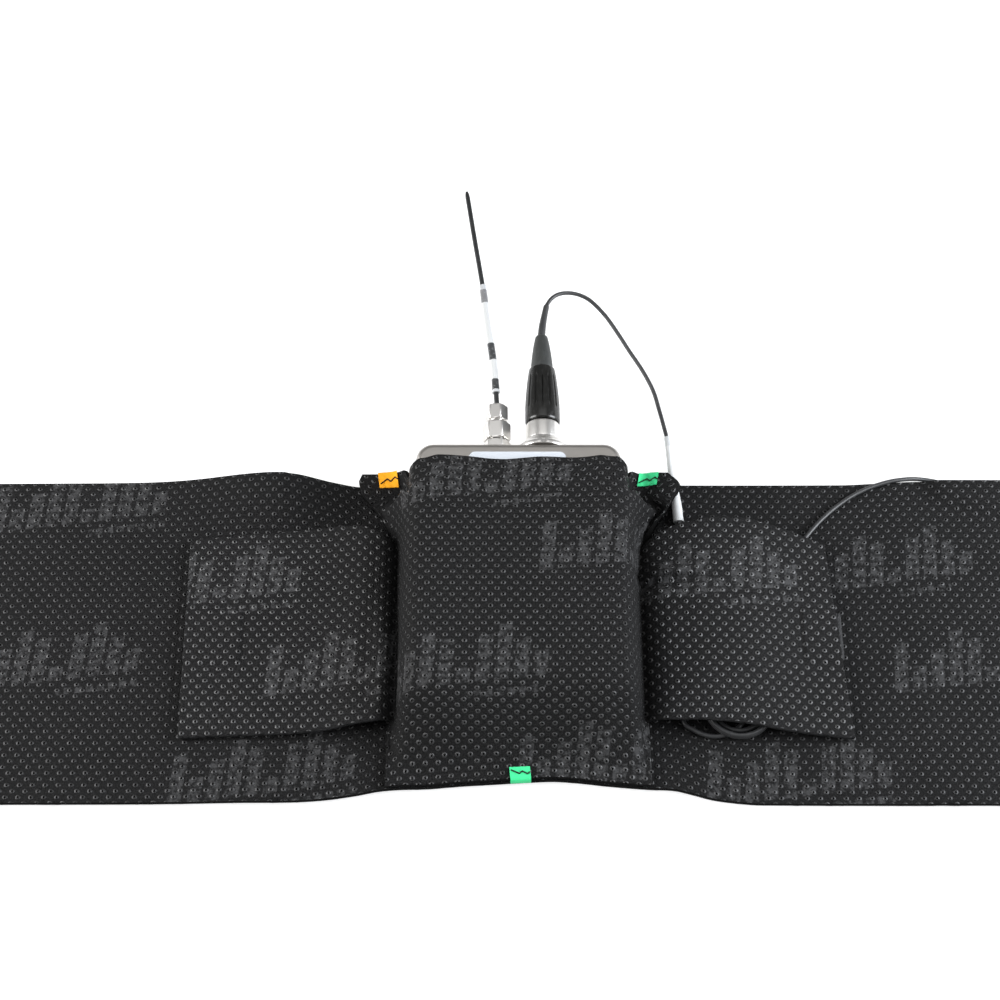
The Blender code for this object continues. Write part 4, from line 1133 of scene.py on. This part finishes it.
def build_tags():
    build_tag("orange_tag_woven", "orange_size_tag", -43.5, 54.6, 0.3, 4.8, "orange",
              tilt=0.03, lean=0.14)
    build_tag("green_tag_woven", "green_size_tag", 41.6, 53.7, 0.3, 3.6, "green", lean=-0.2)
    build_tag("lower_tag_woven", "lower_edge_tag", -0.6, strap_low(-0.6) + 0.3, 0.3, 3.2,
              "green", tilt=0.05, lean=0.1)


# ---- Transmitter -----------------------------------------------------------------------------
CASE_HALF, CASE_LOW, CASE_HIGH = 32.7, -15.0, 59.0
CASE_BACK, CASE_FRONT = 3.0, 20.0


def corner_outline(half, low, high, radii, steps):
    """Outline of the case seen from the front, with its own radius at each corner."""
    corners = [(-half, low, 180), (half, low, 270), (half, high, 0), (-half, high, 90)]
    inward = [(1, 1), (-1, 1), (-1, -1), (1, -1)]
    points = []
    for (cx, cy, start), (sx, sy), radius in zip(corners, inward, radii):
        for k in range(steps + 1):
            angle = math.radians(start + 90 * k / steps)
            points.append(Vector((cx + sx * radius + radius * math.cos(angle),
                                  cy + sy * radius + radius * math.sin(angle))))
    return points


def build_case():
    """The housing: one milled tray, open at its back and lower end, with soft outer edges."""
    bm = bmesh.new()
    steps = 14

    def ring(inset, z, radii=(1.0, 1.0, 5.6, 5.6), low=CASE_LOW):
        shrunk = [max(r - inset, 0.25) for r in radii]
        return [bm.verts.new((PACK_X + p.x, p.y, z)) for p in
                corner_outline(CASE_HALF - inset, low + inset, CASE_HIGH - inset, shrunk, steps)]

    fillet = 1.9
    rings = [ring(0.35, CASE_BACK), ring(0.0, CASE_BACK + 0.35)]
    for k in range(10):
        angle = math.radians(90 * k / 9)
        rings.append(ring(fillet * (1 - math.cos(angle)), CASE_FRONT - fillet + fillet * math.sin(angle)))
    count = len(rings[0])
    join_rings(bm, rings)
    bm.faces.new(rings[-1])
    inner_back = ring(1.5, CASE_BACK, (0.5, 0.5, 4.6, 4.6))
    inner_front = ring(1.5, CASE_FRONT - 1.2, (0.5, 0.5, 4.6, 4.6))
    for a, b in ((rings[0], inner_back), (inner_back, inner_front)):
        for k in range(count):
            bm.faces.new((a[k], b[k], b[(k + 1) % count], a[(k + 1) % count]))
    bm.faces.new(reversed(inner_front))
    case = add_piece("case_housing", bm, "nickel", sharp_angle=40.0)
    cutters = [turned([(5.75, 40.0), (5.75, 70.0)], "Y", (AUDIO_X, 0, MID), 64),
               turned([(3.4, 40.0), (3.4, 70.0)], "Y", (ANTENNA_X, 0, MID), 48),
               turned([(1.45, 40.0), (1.45, 70.0)], "Y", (PACK_X + 17.8, 0, MID), 32),
               turned([(2.9, 40.0), (2.9, 70.0)], "Y", (PACK_X + 23.9, 0, MID), 48),
               box_bm((PACK_X - 26.6, PACK_X - 17.4), (50.0, 70.0), (MID - 1.9, MID + 1.9)),
               box_bm((PACK_X - 31.0, PACK_X + 31.0), (-25.0, -10.0), (-2.0, 18.8))]
    for number, cutter_bm in enumerate(cutters):
        cutter = add_piece(f"case_cutter_{number}", cutter_bm, "nickel", smooth=False)
        step = case.modifiers.new(f"cut_{number}", "BOOLEAN")
        step.operation = "DIFFERENCE"
        step.solver = "EXACT"
        step.object = cutter
        apply_modifier(case, step.name)
        bpy.data.objects.remove(cutter, do_unlink=True)
    stand_for(case, "case_body")
    label = bmesh.new()
    outline = [(p.x, p.y) for p in corner_outline(15.45, 28.0, 55.6, (2.0,) * 4, 10)]
    for z, inset in ((CASE_FRONT + 0.03, 0.0), (CASE_FRONT + 0.16, 0.0), (CASE_FRONT + 0.2, 0.06)):
        for x, y in outline:
            label.verts.new((x * (1 - inset / 15) - 1.25, y, z))
    label.verts.ensure_lookup_table()
    n = len(outline)
    for level in range(2):
        for k in range(n):
            a, b = level * n + k, level * n + (k + 1) % n
            label.faces.new([label.verts[i] for i in (a, b, b + n, a + n)])
    label.faces.new([label.verts[2 * n + k] for k in range(n)])
    label.faces.new([label.verts[k] for k in reversed(range(n))])
    stand_for(add_piece("case_label", label, "label"), "face_label")


def box_bm(x, y, z):
    bm = bmesh.new()
    bmesh.ops.create_cube(bm, size=1.0)
    bmesh.ops.scale(bm, verts=bm.verts, vec=(x[1] - x[0], y[1] - y[0], z[1] - z[0]))
    bmesh.ops.translate(bm, verts=bm.verts, vec=((x[0] + x[1]) / 2, (y[0] + y[1]) / 2, (z[0] + z[1]) / 2))
    return bm


def apply_modifier(item, name):
    with bpy.context.temp_override(object=item, active_object=item):
        bpy.ops.object.modifier_apply(modifier=name)


def threads(radius, start, end, pitch, depth=0.22):
    """Profile points of a ground thread."""
    points = []
    height = start
    while height + pitch <= end:
        points += [(radius, height), (radius, height + pitch * 0.3), (radius - depth, height + pitch * 0.6),
                   (radius - depth, height + pitch * 0.7)]
        height += pitch
    return points + [(radius - depth / 2, end)]


THREAD_PITCH = 0.7056                       # 1/4 inch, 36 threads an inch
COUPLING_NUT = 7.94                         # 5/16 inch across its flats


def build_connectors():
    audio, antenna = (AUDIO_X, 0, MID), (ANTENNA_X, 0, MID)
    ring = rounded([(5.8, 59.1), (8.5, 59.1), (8.5, 60.3), (8.1, 61.0), (6.9, 62.1), (6.1, 62.9),
                    (5.95, 63.5), (5.75, 63.5)], 0.3)
    jack = [(3.2, 47.0), (3.2, 58.8)] + threads(3.15, 59.0, 68.2, THREAD_PITCH)

    def slots(angle, height):
        return 1.0 - 0.05 * (max(0.0, math.cos(4 * angle)) ** 30) * ease(height, 59.2, 59.4)

    for node, body, name, bm in (
            ("socket_ring_nut", ROOT,
             "ring_nut_turned", turned(ring, "Y", audio, 128, section=True, flute=slots)),
            ("antenna_panel_nut", ROOT,
             "panel_nut_hex", hex_prism(8.0, ANTENNA_X, 59.1, 62.9, 20.0, 3.3, 0.35)),
            ("antenna_socket", ROOT,
             "antenna_jack_threaded", turned(jack, "Y", antenna, 64)),
            ("antenna_coupling_nut", "coupling_nut",
             "coupling_nut_hex", hex_prism(COUPLING_NUT, ANTENNA_X, 63.6, 69.9, 22.0, 3.25, 0.55)),
            ("antenna_ferrule", "antenna",
             "ferrule_hex", hex_prism(6.4, ANTENNA_X, 71.0, 76.4, 19.0, 0.9, 0.5))):
        stand_for(add_piece(name, bm, "plated"), node, body)
    neck = rounded([(2.6, 69.95), (3.1, 70.0), (3.1, 70.4), (2.5, 70.6), (2.5, 71.0)], 0.1)
    collar = add_piece("ferrule_collar", turned(neck, "Y", antenna, 64), "plated")
    extra(collar, "antenna")


def build_antenna():
    route = smooth_route([(-7.8, 75.8, 11.5)] + WHIP, 1.2)
    radii = [0.82] * len(route)
    radii[-1], radii[-2] = 0.45, 0.72
    stand_for(swept_tube("whip_rubber_rod", route, radii, "whip", 24), "antenna_whip",
              "antenna")
    sleeve_route = [p for p in smooth_route(WHIP, 0.5) if 81.5 < p.y < 123.9]
    radii = [1.26 + 0.05 * ripple(p.y, 0, 4.0, 1.0) for p in sleeve_route]
    stand_for(swept_tube("whip_marker_tube", sleeve_route, radii, "whip_marker", 28), "antenna_label_sleeve",
              "antenna")


def build_plug():
    axis = (AUDIO_X, 0, MID)
    barrel = rounded([(4.6, 54.0), (4.6, 63.1), (5.5, 63.2), (5.55, 64.0), (5.55, 69.2), (5.2, 69.7),
                      (4.0, 69.8)], 0.2)
    stand_for(add_piece("plug_barrel_turned", turned(barrel, "Y", axis, 128), "plated"), "plug_barrel")

    def flutes(angle, height):
        reach = ease(height, 74.0, 76.5) * (1 - ease(height, 85.5, 88.6))
        groove = max(0.0, math.cos(14 * angle)) ** 5
        return 1.0 - 0.065 * reach * groove

    outline = rounded([(3.9, 70.0), (5.4, 70.0), (5.7, 70.6), (5.75, 73.0)], 0.3)
    waist = [(73.0, 5.75), (76.0, 5.68), (80.0, 5.46), (84.0, 5.12), (87.5, 4.74), (89.4, 4.5)]
    outline += [(between_smooth(73.5 + 0.5 * k, waist), 73.5 + 0.5 * k) for k in range(32)]
    outline += rounded([(4.45, 89.7), (4.3, 90.4), (4.0, 90.7), (3.3, 90.7)], 0.25)
    stand_for(add_piece("plug_sleeve_fluted", turned(outline, "Y", axis, 196, flute=flutes), "black_plastic"),
              "plug_sleeve")
    boot = rounded([(3.6, 90.0), (3.7, 90.9), (3.6, 92.6), (3.2, 96.5), (2.7, 100.0), (2.2, 102.6),
                    (1.98, 103.3), (1.3, 103.7)], 0.5)
    stand_for(add_piece("plug_boot_moulded", turned(boot, "Y", axis, 64), "boot"), "plug_boot")
    relief = smooth_route([(7.1, 102.6, MID), (7.25, 105.0, MID), (7.65, 108.5, MID), (8.3, 112.2, MID),
                           (9.0, 115.8, MID)], 0.6)
    radii = [1.28 - 0.28 * ease(p.y, 104.0, 116.0) for p in relief]
    radii[-1] = 0.85
    stand_for(swept_tube("strain_relief_sleeve", relief, radii, "jacket", 28), "strain_relief_tube")


def finish_cad_nodes():
    """Inner and small CAD nodes keep their shape and take a procedural material."""
    choice = {
        "nickel": ("rear_cover", "battery_door"),
        "plated": ("cover_screw_1", "cover_screw_2", "cover_screw_3", "door_hinge_pin", "radio_shield_can",
                   "audio_socket", "plug_latch_button"),
        "black_plastic": ("battery_divider", "socket_insulator", "power_switch_knob", "gain_potentiometer",
                          "gain_knob", "plug_insert"),
        "board": ("terminal_board", "main_board"),
        "cell": ("battery_left", "battery_right"),
        "brass": ("door_contact_bridge", "door_contact_spring", "terminal_spring"),
        "lens": ("power_led_lens",),
    }
    for name, nodes in choice.items():
        for node in nodes:
            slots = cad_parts[node].material_slots
            for number in range(len(slots)):
                slots[number].material = material(name)


def main():
    set_camera()
    make_materials()
    grey, white, streak = (0.03, 0.032, 0.034), (0.52, 0.53, 0.53), (0.16, 0.16, 0.165)
    MATERIALS["whip_marker"] = banded_sleeve("whip_marker_print", [
        (0.0, (0.44, 0.45, 0.46)), (0.02, grey), (0.115, white), (0.29, grey), (0.445, white),
        (0.825, streak), (0.95, (0.42, 0.43, 0.44))])
    MATERIALS["marker"] = banded_sleeve("cord_marker_print", [
        (0.0, (0.44, 0.455, 0.46)), (0.12, (0.52, 0.53, 0.53)), (0.13, (0.54, 0.55, 0.55))],
        (0.46, 0.48, 0.49))
    set_lights()
    set_floor()
    build_cord()
    build_band()
    build_pouch()
    build_flap(-1, "left_flap", "left_pocket_gusset", "left_flap_cloth")
    build_flap(1, "right_flap", "right_pocket_gusset", "right_flap_cloth")
    build_tapes()
    build_tags()
    build_case()
    build_connectors()
    build_antenna()
    build_plug()
    finish_cad_nodes()


main()
